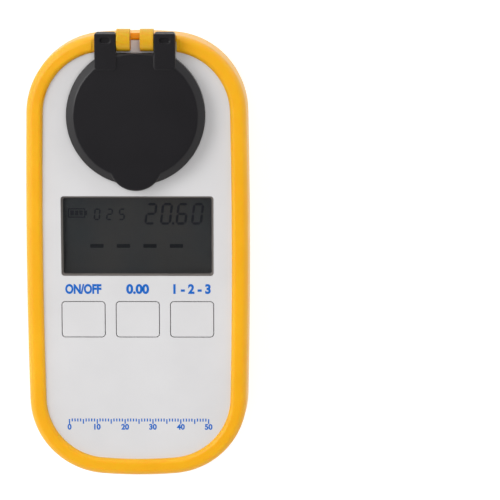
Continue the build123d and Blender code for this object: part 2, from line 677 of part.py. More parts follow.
def well_collar():
    """Black collar that stands on the face round the dish, with a sleeve through the face."""
    points = [
        (COLLAR_LIP_R, DISH_RIM_Z),
        (COLLAR_LIP_R, COLLAR_TOP_Z - COLLAR_EDGE_R),
        (COLLAR_LIP_R + COLLAR_EDGE_R, COLLAR_TOP_Z),
        (COLLAR_R - COLLAR_EDGE_R, COLLAR_TOP_Z),
        (COLLAR_R, COLLAR_TOP_Z - COLLAR_EDGE_R),
        (COLLAR_R, FACE_Z),
        (SLEEVE_R, FACE_Z),
        (SLEEVE_R, BLOCK_TOP_Z),
        (SLEEVE_R - SLEEVE_T, BLOCK_TOP_Z),
        (SLEEVE_R - SLEEVE_T, DISH_RIM_Z),
    ]
    return turned(points, 0, WELL_Y)


def sample_dish():
    """Stainless dish that slopes down to the prism window."""
    bore = WINDOW_R + 0.05
    points = [
        (bore, NECK_Z),
        (bore, WINDOW_Z),
        (DISH_FLAT_R, WINDOW_Z),
        (COLLAR_LIP_R, DISH_RIM_Z),
        (DISH_RIM_R, DISH_RIM_Z),
        (DISH_RIM_R, DISH_RIM_Z - DISH_T),
        (COLLAR_LIP_R + DISH_T / 2, DISH_RIM_Z - DISH_T),
        (DISH_NECK_R, WINDOW_Z - DISH_T / 2),
        (DISH_NECK_R, NECK_Z),
    ]
    return turned(points, 0, WELL_Y)


def prism():
    """Glass prism: a round window on top of a wedge with two sloping faces."""
    half_top, half_low = PRISM_TOP_L / 2, PRISM_BOTTOM_L / 2
    side = Polyline(
        (WELL_Y - half_top, CEILING_Z - 1.2),
        (WELL_Y - half_top, CEILING_Z),
        (WELL_Y + half_top, CEILING_Z),
        (WELL_Y + half_top, CEILING_Z - 1.2),
        (WELL_Y + half_low, PRISM_BOTTOM_Z),
        (WELL_Y - half_low, PRISM_BOTTOM_Z),
        close=True,
    )
    wedge = extrude(Plane.YZ * make_face(side), WINDOW_R, both=True)
    return wedge + post(WINDOW_R, 0, WELL_Y, CEILING_Z, WINDOW_Z)


def prism_seal():
    """O-ring round the prism window, under the dish's neck."""
    ring = Torus(WINDOW_R + 0.05 + PRISM_SEAL_R, PRISM_SEAL_R)
    return Pos(0, WELL_Y, BLOCK_TOP_Z + PRISM_SEAL_R) * ring


def optics_housing():
    """Black housing that holds the lamp, prism, lens and sensor in line under the dish."""
    half = BLOCK_W / 2
    body = block(-half, half, BLOCK_LOW_Y, BLOCK_HIGH_Y, BLOCK_BOTTOM_Z, BLOCK_TOP_Z)
    flange_w = 2 * flange_half_w()
    body += plate(flange_w, FLANGE_L, FLANGE_CORNER_R, 0, WELL_Y, BLOCK_FLANGE_Z, BLOCK_TOP_Z)
    ring_z = DISH_RIM_Z - DISH_T
    body += post(DISH_RIM_R, 0, WELL_Y, BLOCK_TOP_Z, ring_z)
    body -= post(DISH_RIM_R - DISH_WALL_T, 0, WELL_Y, BLOCK_TOP_Z, ring_z)
    inner = half - BLOCK_WALL
    low, high = BLOCK_LOW_Y + BLOCK_WALL, BLOCK_HIGH_Y - BLOCK_WALL
    body -= block(-inner, inner, low, high, BLOCK_BOTTOM_Z, CEILING_Z)
    body -= post(WINDOW_R + 0.1, 0, WELL_Y, CEILING_Z, BLOCK_TOP_Z)
    lens_y = WELL_Y - LENS_REACH
    body += block(-inner, inner, lens_y - LENS_T, lens_y, BLOCK_BOTTOM_Z, CEILING_Z)
    body -= rod_y(LENS_R + BORE_CLEAR, 0, lens_y - LENS_T, lens_y, BEAM_Z)
    body -= rod_y(LAMP_R + BORE_CLEAR, 0, high, BLOCK_HIGH_Y, BEAM_Z)
    slot_x, slot_z = SENSOR_W / 2 + FIT, SENSOR_H / 2 + FIT
    body -= block(-slot_x, slot_x, BLOCK_LOW_Y, low, BEAM_Z - slot_z, BEAM_Z + slot_z)
    for x, y in optic_points():
        body -= post(SMALL_SCREW_R + HOLE_CLEAR, x, y, BLOCK_FLANGE_Z, BLOCK_TOP_Z)
    return body


def optics_cover():
    """Plate that closes the underside of the optical housing."""
    half = BLOCK_W / 2
    low = BLOCK_BOTTOM_Z - BLOCK_COVER_T
    return block(-half, half, BLOCK_LOW_Y, BLOCK_HIGH_Y, low, BLOCK_BOTTOM_Z)


def lamp():
    """Light source: a domed diode through the housing's end wall."""
    nose_y = BLOCK_HIGH_Y - LAMP_L + LAMP_R
    body = rod_y(LAMP_R, 0, nose_y, BLOCK_HIGH_Y, BEAM_Z)
    return body + Pos(0, nose_y, BEAM_Z) * Sphere(LAMP_R)


def imaging_lens():
    """Lens in the housing's partition, between prism and sensor."""
    lens_y = WELL_Y - LENS_REACH
    return rod_y(LENS_R, 0, lens_y - LENS_T, lens_y, BEAM_Z)


def image_sensor():
    """Line sensor in the housing's sensor slot."""
    half_w, half_h = SENSOR_W / 2, SENSOR_H / 2
    return block(-half_w, half_w, BLOCK_LOW_Y, BLOCK_LOW_Y + SENSOR_T, BEAM_Z - half_h, BEAM_Z + half_h)


def sensor_board():
    """Small upright board behind the sensor."""
    half_w, half_h = SENSOR_BOARD_W / 2, SENSOR_BOARD_H / 2
    back_y = BLOCK_LOW_Y - SENSOR_BOARD_T
    return block(-half_w, half_w, back_y, BLOCK_LOW_Y, BEAM_Z - half_h, BEAM_Z + half_h)


def temperature_probe():
    """Bead that reads the dish's temperature, on the housing just under the dish."""
    return post(PROBE_R, PROBE_X, WELL_Y, BLOCK_TOP_Z, BLOCK_TOP_Z + PROBE_H)


def bend_radii(points):
    """One radius for each corner of a route, as large as the two runs beside it allow."""
    places = [Vector(*point) for point in points]
    radii = []
    for before, here, after in zip(places, places[1:], places[2:]):
        turn = (here - before).get_angle(after - here)
        run = min((here - before).length, (after - here).length)
        radii.append(BEND_SHARE * run / tan(radians(turn / 2)))
    return radii


def routed(name, points, section, x_dir):
    """Section swept along a route of straight runs joined by tangent arcs."""
    radii = bend_radii(points)
    print(name, "bend radii", [round(radius, 2) for radius in radii])
    path = FilletPolyline(*points, radius=radii)
    start = Plane(origin=path @ 0, x_dir=x_dir, z_dir=path % 0)
    return sweep(start * section, path=path)


def flex_cable():
    """Flat cable from the sensor board to the connector under the main board."""
    start_y = BLOCK_LOW_Y - SENSOR_BOARD_T
    end_y = BOARD_NOTCH_Y - CONNECTOR_INSET
    end_z = BOARD_Z - CONNECTOR_T / 2
    start_z = BEAM_Z - SENSOR_BOARD_H / 2 + FLEX_EXIT
    mid_y = (start_y + end_y) / 2
    points = [(0, start_y, start_z), (0, mid_y, start_z), (0, mid_y, end_z), (0, end_y, end_z)]
    return routed("flex_cable", points, Rectangle(FLEX_W, FLEX_T), (1, 0, 0))


def display_pane():
    """Clear pane in the pocket behind the display opening."""
    width, height = WINDOW_W + 2 * (LENS_PANE_LIP - PANE_CLEAR), WINDOW_H + 2 * (LENS_PANE_LIP - PANE_CLEAR)
    return plate(width, height, WINDOW_CORNER_R, 0, WINDOW_Y, PLATE_Z, PLATE_Z + LENS_PANE_T)


def display_glass():
    """Liquid crystal glass under the pane."""
    half_w, half_h = GLASS_W / 2, GLASS_H / 2
    return block(-half_w, half_w, WINDOW_Y - half_h, WINDOW_Y + half_h, GLASS_Z, GLASS_TOP_Z)


def display_holder():
    """Frame on the board that holds the display glass."""
    inner_w, inner_h = GLASS_W / 2 + 0.1, GLASS_H / 2 + 0.1
    out_w, out_h = inner_w + HOLDER_WALL, inner_h + HOLDER_WALL
    frame = block(-out_w, out_w, WINDOW_Y - out_h, WINDOW_Y + out_h, BOARD_TOP_Z, GLASS_TOP_Z)
    return frame - block(
        -inner_w, inner_w, WINDOW_Y - inner_h, WINDOW_Y + inner_h, BOARD_TOP_Z, GLASS_TOP_Z
    )


def contact_strips():
    """Two rubber contact strips between the board and the display glass."""
    half_w, edge = GLASS_W / 2 - 0.5, GLASS_H / 2 - 0.2
    low = block(-half_w, half_w, WINDOW_Y - edge, WINDOW_Y - edge + STRIP_W, BOARD_TOP_Z, GLASS_Z)
    high = block(-half_w, half_w, WINDOW_Y + edge - STRIP_W, WINDOW_Y + edge, BOARD_TOP_Z, GLASS_Z)
    return group([low, high])


def key_cap(x):
    """Flush key: a hollow cap with a retaining flange and a stem to its switch."""
    width, height = KEY_W - 2 * KEY_GAP, KEY_H - 2 * KEY_GAP
    flange_top = PLATE_Z - KEY_FLANGE_GAP
    flange_low = flange_top - KEY_FLANGE_T
    cap = plate(width, height, KEY_CORNER_R - KEY_GAP, x, KEY_Y, flange_low, FACE_Z)
    flange_w, flange_h = KEY_W + 2 * KEY_FLANGE_W, KEY_H + 2 * KEY_FLANGE_W
    cap += plate(flange_w, flange_h, KEY_CORNER_R, x, KEY_Y, flange_low, flange_top)
    hollow_w, hollow_h = width - 2 * KEY_WALL, height - 2 * KEY_WALL
    hollow_top = FACE_Z - KEY_TOP_T
    cap -= plate(hollow_w, hollow_h, KEY_CORNER_R / 2, x, KEY_Y, flange_low, hollow_top)
    return cap + post(PLUNGER_R, x, KEY_Y, PLUNGER_TOP_Z, hollow_top)


def switch_body(x):
    """Push switch on the board, open on top for its plunger."""
    half = SWITCH_W / 2
    body = block(x - half, x + half, KEY_Y - half, KEY_Y + half, BOARD_TOP_Z, SWITCH_TOP_Z)
    return body - post(
        PLUNGER_R + PLUNGER_CLEAR, x, KEY_Y, SWITCH_TOP_Z - SWITCH_BORE_DEPTH, SWITCH_TOP_Z
    )


def switch_plunger(x):
    """Plunger that the key's stem pushes into the switch."""
    return post(PLUNGER_R, x, KEY_Y, SWITCH_TOP_Z - PLUNGER_DEPTH, PLUNGER_TOP_Z)


def main_board():
    """Main circuit board, notched for the flat cable and drilled for its screws."""
    board = block(-BOARD_HALF_W, BOARD_HALF_W, BOARD_LOW_Y, BOARD_HIGH_Y, BOARD_Z, BOARD_TOP_Z)
    notch = BOARD_NOTCH_W / 2
    board -= block(-notch, notch, BOARD_NOTCH_Y, BOARD_HIGH_Y, BOARD_Z, BOARD_TOP_Z)
    for x, y in board_points():
        board -= post(SMALL_SCREW_R + HOLE_CLEAR, x, y, BOARD_Z, BOARD_TOP_Z)
    return board


def controller_chip():
    """Controller under the main board."""
    half = CHIP_W / 2
    return block(-half, half, CHIP_Y - half, CHIP_Y + half, BOARD_Z - CHIP_T, BOARD_Z)


def board_parts():
    """Small capacitors and resistors in two rows under the board."""
    parts = []
    half_l, half_w = PART_L / 2, PART_W / 2
    for row, y in enumerate((CHIP_Y + PART_ROW_GAP, CHIP_Y - PART_ROW_GAP)):
        for column in range(-3, 4):
            x = column * PART_PITCH + row * PART_ROW_SHIFT
            parts.append(block(x - half_l, x + half_l, y - half_w, y + half_w, BOARD_Z - PART_T, BOARD_Z))
    return group(parts)


def flex_connector():
    """Connector under the board's notch edge that takes the flat cable."""
    half = CONNECTOR_W / 2
    high = BOARD_NOTCH_Y - CONNECTOR_INSET
    return block(-half, half, high - CONNECTOR_D, high, BOARD_Z - CONNECTOR_T, BOARD_Z)


def battery_cell():
    """Small cylindrical cell across the case, with its positive nub to the right."""
    nub_x = CELL_HIGH_X - CELL_NUB_L
    cell = rod_x(CELL_R, CELL_LOW_X, nub_x, BAY_Y, CELL_Z)
    cell = fillet(cell.edges().filter_by(GeomType.CIRCLE), 0.5)
    return cell + rod_x(CELL_NUB_R, nub_x, CELL_HIGH_X, BAY_Y, CELL_Z)


def contact_plate(side):
    """Flat contact against one end wall of the bay, with a solder tab through the roof."""
    out, inner = side * BAY_HALF_L, side * (BAY_HALF_L - CONTACT_T)
    low, high = min(out, inner), max(out, inner)
    half = CONTACT_W / 2
    body = block(low, high, BAY_Y - half, BAY_Y + half, CELL_Z - half, BAY_TOP_Z - FIT)
    tab = CONTACT_TAB_W / 2
    tab_top = BAY_TOP_Z + BAY_CEILING_T + CONTACT_TAB_RISE
    return body + block(low, high, BAY_Y - tab, BAY_Y + tab, CELL_Z, tab_top)


def spring_contact():
    """Leaf spring that pushes the cell's flat end, on its own end plate."""
    root_x = -BAY_HALF_L + CONTACT_T
    tip_x = CELL_LOW_X
    half = CONTACT_W / 2
    low_z, high_z = CELL_Z - half, CELL_Z + half / 2
    leaf = Polyline(
        (root_x, low_z),
        (root_x, low_z + CONTACT_T),
        (tip_x - CONTACT_T, CELL_Z),
        (root_x + CONTACT_T, high_z),
        (root_x + 2 * CONTACT_T, high_z),
        (tip_x, CELL_Z),
        (root_x + CONTACT_T, low_z),
        close=True,
    )
    width = CONTACT_W / 4
    return contact_plate(-1) + Pos(0, BAY_Y, 0) * extrude(Plane.XZ * make_face(leaf), width, both=True)


def battery_lead(side):
    """Insulated lead from a contact's tab, over the bay's roof, down to the board's top."""
    x = side * (BAY_HALF_L - CONTACT_T - LEAD_R - LEAD_GAP)
    run_z = BAY_TOP_Z + BAY_CEILING_T + LEAD_R + LEAD_GAP
    pad_x, pad_y = side * LEAD_PAD_X, BOARD_LOW_Y + LEAD_PAD_LIFT
    bend_y = BAY_Y + BAY_HALF_W + BAY_WALL
    points = [
        (x, BAY_Y, run_z),
        (x, (BAY_Y + bend_y) / 2, run_z),
        (pad_x, bend_y, run_z),
        (pad_x, pad_y, run_z),
        (pad_x, pad_y, BOARD_TOP_Z),
    ]
    name = "positive_lead" if side > 0 else "negative_lead"
    return routed(name, points, Circle(LEAD_R), (1, 0, 0))


def door_inserts():
    """Threaded brass inserts for the battery door's screws."""
    top = LEDGE_Z + INSERT_L
    return group(
        post(INSERT_R, 0, y, LEDGE_Z, top) - post(DOOR_SCREW_R + BORE_CLEAR, 0, y, LEDGE_Z, top)
        for y in DOOR_SCREWS_Y
    )


def door_screws():
    """Cross-recess screws kept in the battery door's lugs."""
    return group(
        cross_screw(0, y, DOOR_INSET, DOOR_HEAD_R, DOOR_HEAD_T, DOOR_SCREW_R, DOOR_SCREW_L, CROSS_L)
        for y in DOOR_SCREWS_Y
    )


def case_screws():
    """Four screws through the rear shell's pads into the front shell's pillars."""
    head_z = COUNTERBORE_DEPTH - CASE_HEAD_T
    return group(
        cross_screw(x, y, head_z, CASE_HEAD_R, CASE_HEAD_T, CASE_SCREW_R, CASE_SCREW_L, CROSS_L)
        for x, y in screw_points()
    )


def small_screws(points, seat_z):
    """Short screws with their heads under a plate whose underside is at seat_z."""
    return group(
        cross_screw(
            x, y, seat_z - SMALL_HEAD_T, SMALL_HEAD_R, SMALL_HEAD_T, SMALL_SCREW_R, SMALL_SCREW_L, CROSS_L
        )
        for x, y in points
    )


def pieces():
    """Every piece of the meter by name, in the case's own frame."""
    named = {
        "surround": surround(),
        "front_shell": front_shell(),
        "rear_shell": rear_shell(),
        "case_seal": case_seal(),
        "case_screws": case_screws(),
        "lid_shell": lid_shell(),
        "lid_seal": lid_seal(),
        "hinge_pin_right": hinge_pin(),
        "hinge_pin_left": mirror(hinge_pin(), Plane.YZ),
        "well_collar": well_collar(),
        "sample_dish": sample_dish(),
        "prism": prism(),
        "prism_seal": prism_seal(),
        "optics_housing": optics_housing(),
        "optics_cover": optics_cover(),
        "optics_screws": small_screws(optic_points(), BLOCK_FLANGE_Z),
        "lamp": lamp(),
        "imaging_lens": imaging_lens(),
        "image_sensor": image_sensor(),
        "sensor_board": sensor_board(),
        "temperature_probe": temperature_probe(),
        "flex_cable": flex_cable(),
        "flex_connector": flex_connector(),
        "display_pane": display_pane(),
        "display_glass": display_glass(),
        "display_holder": display_holder(),
        "contact_strips": contact_strips(),
        "main_board": main_board(),
        "board_screws": small_screws(board_points(), BOARD_Z),
        "controller_chip": controller_chip(),
        "board_parts": board_parts(),
        "battery_cell": battery_cell(),
        "positive_contact": contact_plate(1),
        "negative_contact": spring_contact(),
        "positive_lead": battery_lead(1),
        "negative_lead": battery_lead(-1),
        "battery_door": battery_door(),
        "door_seal": door_seal(),
        "door_screws": door_screws(),
        "door_inserts": door_inserts(),
    }
    for name, x in KEYS.items():
        named[name + "_key"] = key_cap(x)
        named[name + "_plunger"] = switch_plunger(x)
        named[name + "_switch"] = switch_body(x)
    return named


def main():
    """Writes each piece to its own file, moved so that the footprint is centred."""
    os.makedirs("parts", exist_ok=True)
    for name, shape in pieces().items():
        solids = [Pos(0, CASE_Y, 0) * solid for solid in shape.solids()]
        export_step(Compound(solids), f"parts/{name}.step")


main()
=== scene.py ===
"""Looks of a handheld digital refractometer: finishes, prints, display, light and camera.

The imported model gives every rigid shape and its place. This script gives the outer pieces softly
rounded edges, dresses each piece in the stuff that it is made of, prints the face and the display,
and sets the meter on a white table under a soft studio light.
"""

import logging
import math
from dataclasses import dataclass
from enum import Enum
from functools import lru_cache
from typing import Any, Optional, Sequence

import bmesh
import bpy
from mathutils import Matrix, Vector


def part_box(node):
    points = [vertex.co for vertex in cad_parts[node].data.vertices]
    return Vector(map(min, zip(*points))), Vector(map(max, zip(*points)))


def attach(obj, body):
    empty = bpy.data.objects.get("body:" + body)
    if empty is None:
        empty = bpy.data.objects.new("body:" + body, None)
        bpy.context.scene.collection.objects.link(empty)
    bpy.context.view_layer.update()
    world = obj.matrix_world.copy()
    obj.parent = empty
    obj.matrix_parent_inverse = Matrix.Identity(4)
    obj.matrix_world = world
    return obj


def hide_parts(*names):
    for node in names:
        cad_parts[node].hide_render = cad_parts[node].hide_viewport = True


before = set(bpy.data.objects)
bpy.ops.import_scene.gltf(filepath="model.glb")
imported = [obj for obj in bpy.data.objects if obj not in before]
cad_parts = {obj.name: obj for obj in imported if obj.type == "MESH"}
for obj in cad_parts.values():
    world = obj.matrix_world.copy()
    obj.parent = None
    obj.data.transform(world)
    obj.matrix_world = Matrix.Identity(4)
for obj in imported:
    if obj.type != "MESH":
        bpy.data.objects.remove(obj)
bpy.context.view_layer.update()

LOG = logging.getLogger("refractometer")
MM = 0.001
WELD = 2e-6
SHARP_DEG = 32.0

Point = tuple[float, float]
Place = tuple[float, float, float]
Outline = list[Point]
Tones = Sequence[tuple[float, str]]
Tree = bpy.types.NodeTree
Socket = bpy.types.NodeSocket


class Body(Enum):
    """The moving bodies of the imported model."""

    CASE = "case"
    LID = "lid"
    READ = "read_button"
    CALIBRATE = "calibrate_button"
    SCALE = "scale_button"
    DOOR = "door"


class Lay(Enum):
    """How the tool marks of a metal piece run."""

    ALONG_X = "along x"
    ALONG_Z = "along z"
    RINGS = "rings about an upright axis"


# Colour, meshes and nodes


def linear(colour: str) -> tuple[float, float, float, float]:
    """Turns an sRGB hex colour into linear RGBA.

    Args:
        colour: six hex digits, such as "f5b123".

    Returns:
        Linear red, green, blue and an alpha of 1.
    """
    parts = [int(colour[i : i + 2], 16) / 255 for i in (0, 2, 4)]
    red, green, blue = [p / 12.92 if p <= 0.04045 else ((p + 0.055) / 1.055) ** 2.4 for p in parts]
    return red, green, blue, 1.0


def add_node(
    tree: Tree,
    kind: str,
    links: Optional[dict[Any, Any]] = None,
    stops: Tones = (),
    **settings: Any,
) -> bpy.types.Node:
    """Adds one node with its settings, its values and its incoming links.

    Args:
        tree: the tree that gets the node.
        kind: the node's type name.
        links: a value or another node's output for each input, by name or number.
        stops: places and hex colours, for a colour ramp.
        settings: properties of the node itself.

    Returns:
        The new node.
    """
    node = tree.nodes.new(kind)
    for name, value in settings.items():
        setattr(node, name, value)
    for key, value in (links or {}).items():
        if isinstance(value, Socket):
            tree.links.new(value, node.inputs[key])
        else:
            node.inputs[key].default_value = value
    for number, (place, colour) in enumerate(stops):
        ramp = node.color_ramp.elements
        stop = ramp[number] if number < len(ramp) else ramp.new(place)
        stop.position = place
        stop.color = linear(colour)
    return node


def new_material(name: str) -> tuple[bpy.types.Material, Tree]:
    """Makes an empty node material.

    Args:
        name: the material's name.

    Returns:
        The material and its node tree.
    """
    material = bpy.data.materials.new(name)
    material.use_nodes = True
    material.node_tree.nodes.clear()
    return material, material.node_tree


def linked(name: str, work: bmesh.types.BMesh) -> bpy.types.Object:
    """Turns a bmesh into an object of the scene.

    Args:
        name: the piece's name.
        work: the bmesh, which is freed.

    Returns:
        The new object, at the origin.
    """
    mesh = bpy.data.meshes.new(name)
    work.to_mesh(mesh)
    work.free()
    piece = bpy.data.objects.new(name, mesh)
    bpy.context.scene.collection.objects.link(piece)
    return piece


def freeze(piece: bpy.types.Object) -> bpy.types.Object:
    """Replaces a piece's modifiers by the plain mesh that they give.

    Args:
        piece: the piece with its modifiers.

    Returns:
        The same piece, with none.
    """
    bpy.context.view_layer.update()
    depsgraph = bpy.context.evaluated_depsgraph_get()
    mesh = bpy.data.meshes.new_from_object(
        piece.evaluated_get(depsgraph), preserve_all_data_layers=True, depsgraph=depsgraph
    )
    mesh.name = piece.name
    piece.modifiers.clear()
    piece.data = mesh
    return piece


def settle(piece: bpy.types.Object, body: Body, *nodes: str, slot: str = "") -> bpy.types.Object:
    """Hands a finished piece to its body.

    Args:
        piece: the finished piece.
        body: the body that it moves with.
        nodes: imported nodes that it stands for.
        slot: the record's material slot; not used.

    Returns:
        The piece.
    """
    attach(piece, body.value)
    if nodes:
        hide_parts(*nodes)
    LOG.info("%s rides on %s with %d faces", piece.name, body.value, len(piece.data.polygons))
    return piece


def plates(name: str, outlines: Sequence[Outline], low: float, thickness: float) -> bpy.types.Object:
    """Makes flat closed plates, such as a print's ink.

    Args:
        name: the piece's name.
        outlines: the plates' outlines in mm, each anticlockwise.
        low: height of their undersides in metres.
        thickness: their thickness in mm.

    Returns:
        One object that holds all the plates.
    """
    work = bmesh.new()
    for outline in outlines:
        base = [work.verts.new((x * MM, y * MM, low)) for x, y in outline]
        top = [work.verts.new((x * MM, y * MM, low + thickness * MM)) for x, y in outline]
        work.faces.new(list(reversed(base)))
        work.faces.new(top)
        for i, (first, second) in enumerate(zip(base, base[1:] + base[:1])):
            work.faces.new((first, second, top[(i + 1) % len(top)], top[i]))
    bmesh.ops.recalc_face_normals(work, faces=work.faces)
    return linked(name, work)


def rounded_outline(width: float, height: float, radius: float, middle: Point) -> Outline:
    """Makes the outline of a rectangle with rounded corners.

    Args:
        width: its width in mm.
        height: its height in mm.
        radius: its corners' radius in mm.
        middle: its middle in mm.

    Returns:
        The outline, anticlockwise and in mm.
    """
    steps = 6
    half_w, half_h = width / 2 - radius, height / 2 - radius
    corners = ((half_w, half_h), (-half_w, half_h), (-half_w, -half_h), (half_w, -half_h))
    points = []
    for quarter, (x, y) in enumerate(corners):
        for step in range(steps + 1):
            angle = math.pi / 2 * (quarter + step / steps)
            along, up = x + radius * math.cos(angle), y + radius * math.sin(angle)
            points.append((middle[0] + along, middle[1] + up))
    return points


def closed_ring(name: str, loops: Sequence[tuple[Outline, float]]) -> bpy.types.Object:
    """Makes a closed ring from loops that follow each other round its section.

    Args:
        name: the piece's name.
        loops: each loop's outline in mm and its height in metres, all with as many points.

    Returns:
        The ring.
    """
    work = bmesh.new()
    rows = [[work.verts.new((x * MM, y * MM, height)) for x, y in outline] for outline, height in loops]
    for row, following in zip(rows, rows[1:] + rows[:1]):
        for i, vert in enumerate(row):
            after = (i + 1) % len(row)
            work.faces.new((vert, row[after], following[after], following[i]))
    bmesh.ops.recalc_face_normals(work, faces=work.faces)
    return linked(name, work)


def lettered(
    name: str, words: str, middle: Point, height: float, low: float, ink: float, width: float = 0.0
) -> bpy.types.Object:
    """Makes plain numerals or ON and OFF as flat closed ink.

    Args:
        name: the piece's name.
        words: the characters.
        middle: the middle of the line in mm.
        height: height of a capital in mm.
        low: height of the underside in metres.
        ink: thickness in mm.
        width: width of the line in mm, or 0 for the letters' own width.

    Returns:
        The lettering as a closed mesh.
    """
    capital_share = 0.72
    bold_share = 0.065 if width else 0.055
    curve = bpy.data.curves.new(name, "FONT")
    curve.body = words
    curve.size = height / capital_share
    curve.align_x = "CENTER"
    curve.offset = height * bold_share
    curve.extrude = ink / 2
    text = bpy.data.objects.new(name + "_line", curve)
    bpy.context.scene.collection.objects.link(text)
    bpy.context.view_layer.update()
    depsgraph = bpy.context.evaluated_depsgraph_get()
    mesh = bpy.data.meshes.new_from_object(text.evaluated_get(depsgraph))
    bpy.data.objects.remove(text)
    place = Vector((middle[0] * MM, (middle[1] - height / 2) * MM, low + ink / 2 * MM))
    reach = [vert.co.x for vert in mesh.vertices]
    own_width = max(reach) - min(reach)
    stretch = width / own_width if width else 1.0
    mesh.transform(Matrix.Translation((-(max(reach) + min(reach)) / 2, 0, 0)))
    mesh.transform(Matrix.Translation(place) @ Matrix.Diagonal((stretch * MM, MM, MM, 1.0)))
    work = bmesh.new()
    work.from_mesh(mesh)
    bpy.data.meshes.remove(mesh)
    bmesh.ops.remove_doubles(work, verts=work.verts, dist=WELD)
    bmesh.ops.recalc_face_normals(work, faces=work.faces)
    return linked(name, work)


def joined(name: str, parts: Sequence[bpy.types.Object]) -> bpy.types.Object:
    """Joins meshes at the origin into one piece.

    Args:
        name: the piece's name.
        parts: the meshes' objects, which are removed.

    Returns:
        The one piece.
    """
    work = bmesh.new()
    for part in parts:
        work.from_mesh(part.data)
        bpy.data.objects.remove(part)
    return linked(name, work)


def softened(node: str, name: str, edge_mm: float, body: Body, slot: str) -> bpy.types.Object:
    """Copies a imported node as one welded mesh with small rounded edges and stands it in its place.

    Args:
        node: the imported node.
        name: the new piece's name.
        edge_mm: how wide its moulded edge rounding is.
        body: the body that it moves with.
        slot: the record's material slot.

    Returns:
        The new piece.
    """
    sharp = math.radians(SHARP_DEG)
    work = bmesh.new()
    work.from_mesh(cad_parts[node].data)
    bmesh.ops.remove_doubles(work, verts=work.verts, dist=WELD)
    for face in work.faces:
        face.smooth = True
    for edge in work.edges:
        edge.smooth = len(edge.link_faces) == 2 and edge.calc_face_angle(0.0) < sharp
    piece = linked(name, work)
    rounding = piece.modifiers.new("rounded edges", "BEVEL")
    rounding.width = edge_mm * MM
    rounding.segments = 2
    rounding.limit_method = "ANGLE"
    rounding.angle_limit = sharp
    rounding.use_clamp_overlap = True
    rounding.harden_normals = True
    evening = piece.modifiers.new("even normals", "WEIGHTED_NORMAL")
    evening.keep_sharp = True
    freeze(piece)
    return settle(piece, body, node, slot=slot)


# Finishes


def mottled(tree: Tree, place: Socket, blotch_mm: float, detail: float, tones: Tones) -> Socket:
    """Mixes a surface's tones in soft blotches.

    Args:
        tree: the material's tree.
        place: the piece's own coordinates.
        blotch_mm: how wide the blotches are.
        detail: how ragged they are.
        tones: places and hex colours of the tones.

    Returns:
        The mixed colour.
    """
    spots = {"Vector": place, "Scale": 1 / (blotch_mm * MM), "Detail": detail}
    blotch = add_node(tree, "ShaderNodeTexNoise", spots)
    return add_node(tree, "ShaderNodeValToRGB", {"Fac": blotch.outputs["Fac"]}, tones).outputs["Color"]


def marked(
    tree: Tree, place: Socket, mark_mm: float, detail: float, smooth: float, dull: float
) -> tuple[Socket, Socket]:
    """Makes a surface now smoother, now duller, in fine marks.

    Args:
        tree: the material's tree.
        place: the piece's own coordinates.
        mark_mm: how wide the marks are.
        detail: how ragged they are.
        smooth: the least roughness.
        dull: the greatest roughness.

    Returns:
        The marks' height and the roughness.
    """
    specks = {"Vector": place, "Scale": 1 / (mark_mm * MM), "Detail": detail}
    marks = add_node(tree, "ShaderNodeTexNoise", specks).outputs["Fac"]
    sheen = add_node(tree, "ShaderNodeMapRange", {"Value": marks, "To Min": smooth, "To Max": dull})
    return marks, sheen.outputs["Result"]


@dataclass(frozen=True)
class Finish:
    """The stuff of a surface, named for what the real one is and how its surface was made."""

    name: str

    def surface(self, tree: Tree, place: Socket) -> dict[str, Any]:
        """Draws the stuff's own patterns.

        Args:
            tree: the material's tree.
            place: the piece's own coordinates.

        Returns:
            The inputs of the principled surface.
        """
        raise NotImplementedError(self.name)

    def material(self) -> bpy.types.Material:
        """Builds the stuff.

        Returns:
            Its material.
        """
        material, tree = new_material(self.name)
        place = add_node(tree, "ShaderNodeTexCoord").outputs["Object"]
        skin = add_node(tree, "ShaderNodeBsdfPrincipled", self.surface(tree, place))
        add_node(tree, "ShaderNodeOutputMaterial", {"Surface": skin.outputs["BSDF"]})
        return material


@dataclass(frozen=True)
class MouldedPlastic(Finish):
    """Plastic moulded against a spark-eroded tool: satin, with a fine even grain and faint flow tones.

    The grain of the real tool is about 0.1 mm, too fine to show, and is drawn a little coarser. Where
    edge_mm is set, light runs over the edges as over a small moulded rounding.
    """

    shade: str
    light: str
    roughness: float
    grain_mm: float = 0.32
    grain_depth_mm: float = 0.006
    flow_mm: float = 14.0
    glow: float = 0.0
    glow_mm: Place = (1.6, 0.5, 0.1)
    gloss: float = 0.5
    edge_mm: float = 0.0
    spread: float = 0.06
    ior: float = 1.53

    def surface(self, tree: Tree, place: Socket) -> dict[str, Any]:
        """Draws the flow tones and the grain.

        Args:
            tree: the material's tree.
            place: the piece's own coordinates.

        Returns:
            The inputs of the principled surface.
        """
        tone = mottled(tree, place, self.flow_mm, 3.0, [(0.3, self.shade), (0.7, self.light)])
        smooth, dull = self.roughness - self.spread, self.roughness + self.spread
        grain, sheen = marked(tree, place, self.grain_mm, 2.0, smooth, dull)
        pits = {"Height": grain, "Distance": self.grain_depth_mm * MM, "Strength": 0.8}
        if self.edge_mm:
            edge = add_node(tree, "ShaderNodeBevel", {"Radius": self.edge_mm * MM}, samples=6)
            pits["Normal"] = edge.outputs["Normal"]
        relief = add_node(tree, "ShaderNodeBump", pits)
        return {
            "Base Color": tone,
            "Roughness": sheen,
            "Normal": relief.outputs["Normal"],
            "IOR": self.ior,
            "Subsurface Weight": self.glow,
            "Subsurface Radius": self.glow_mm,
            "Subsurface Scale": MM,
            "Specular IOR Level": self.gloss,
        }


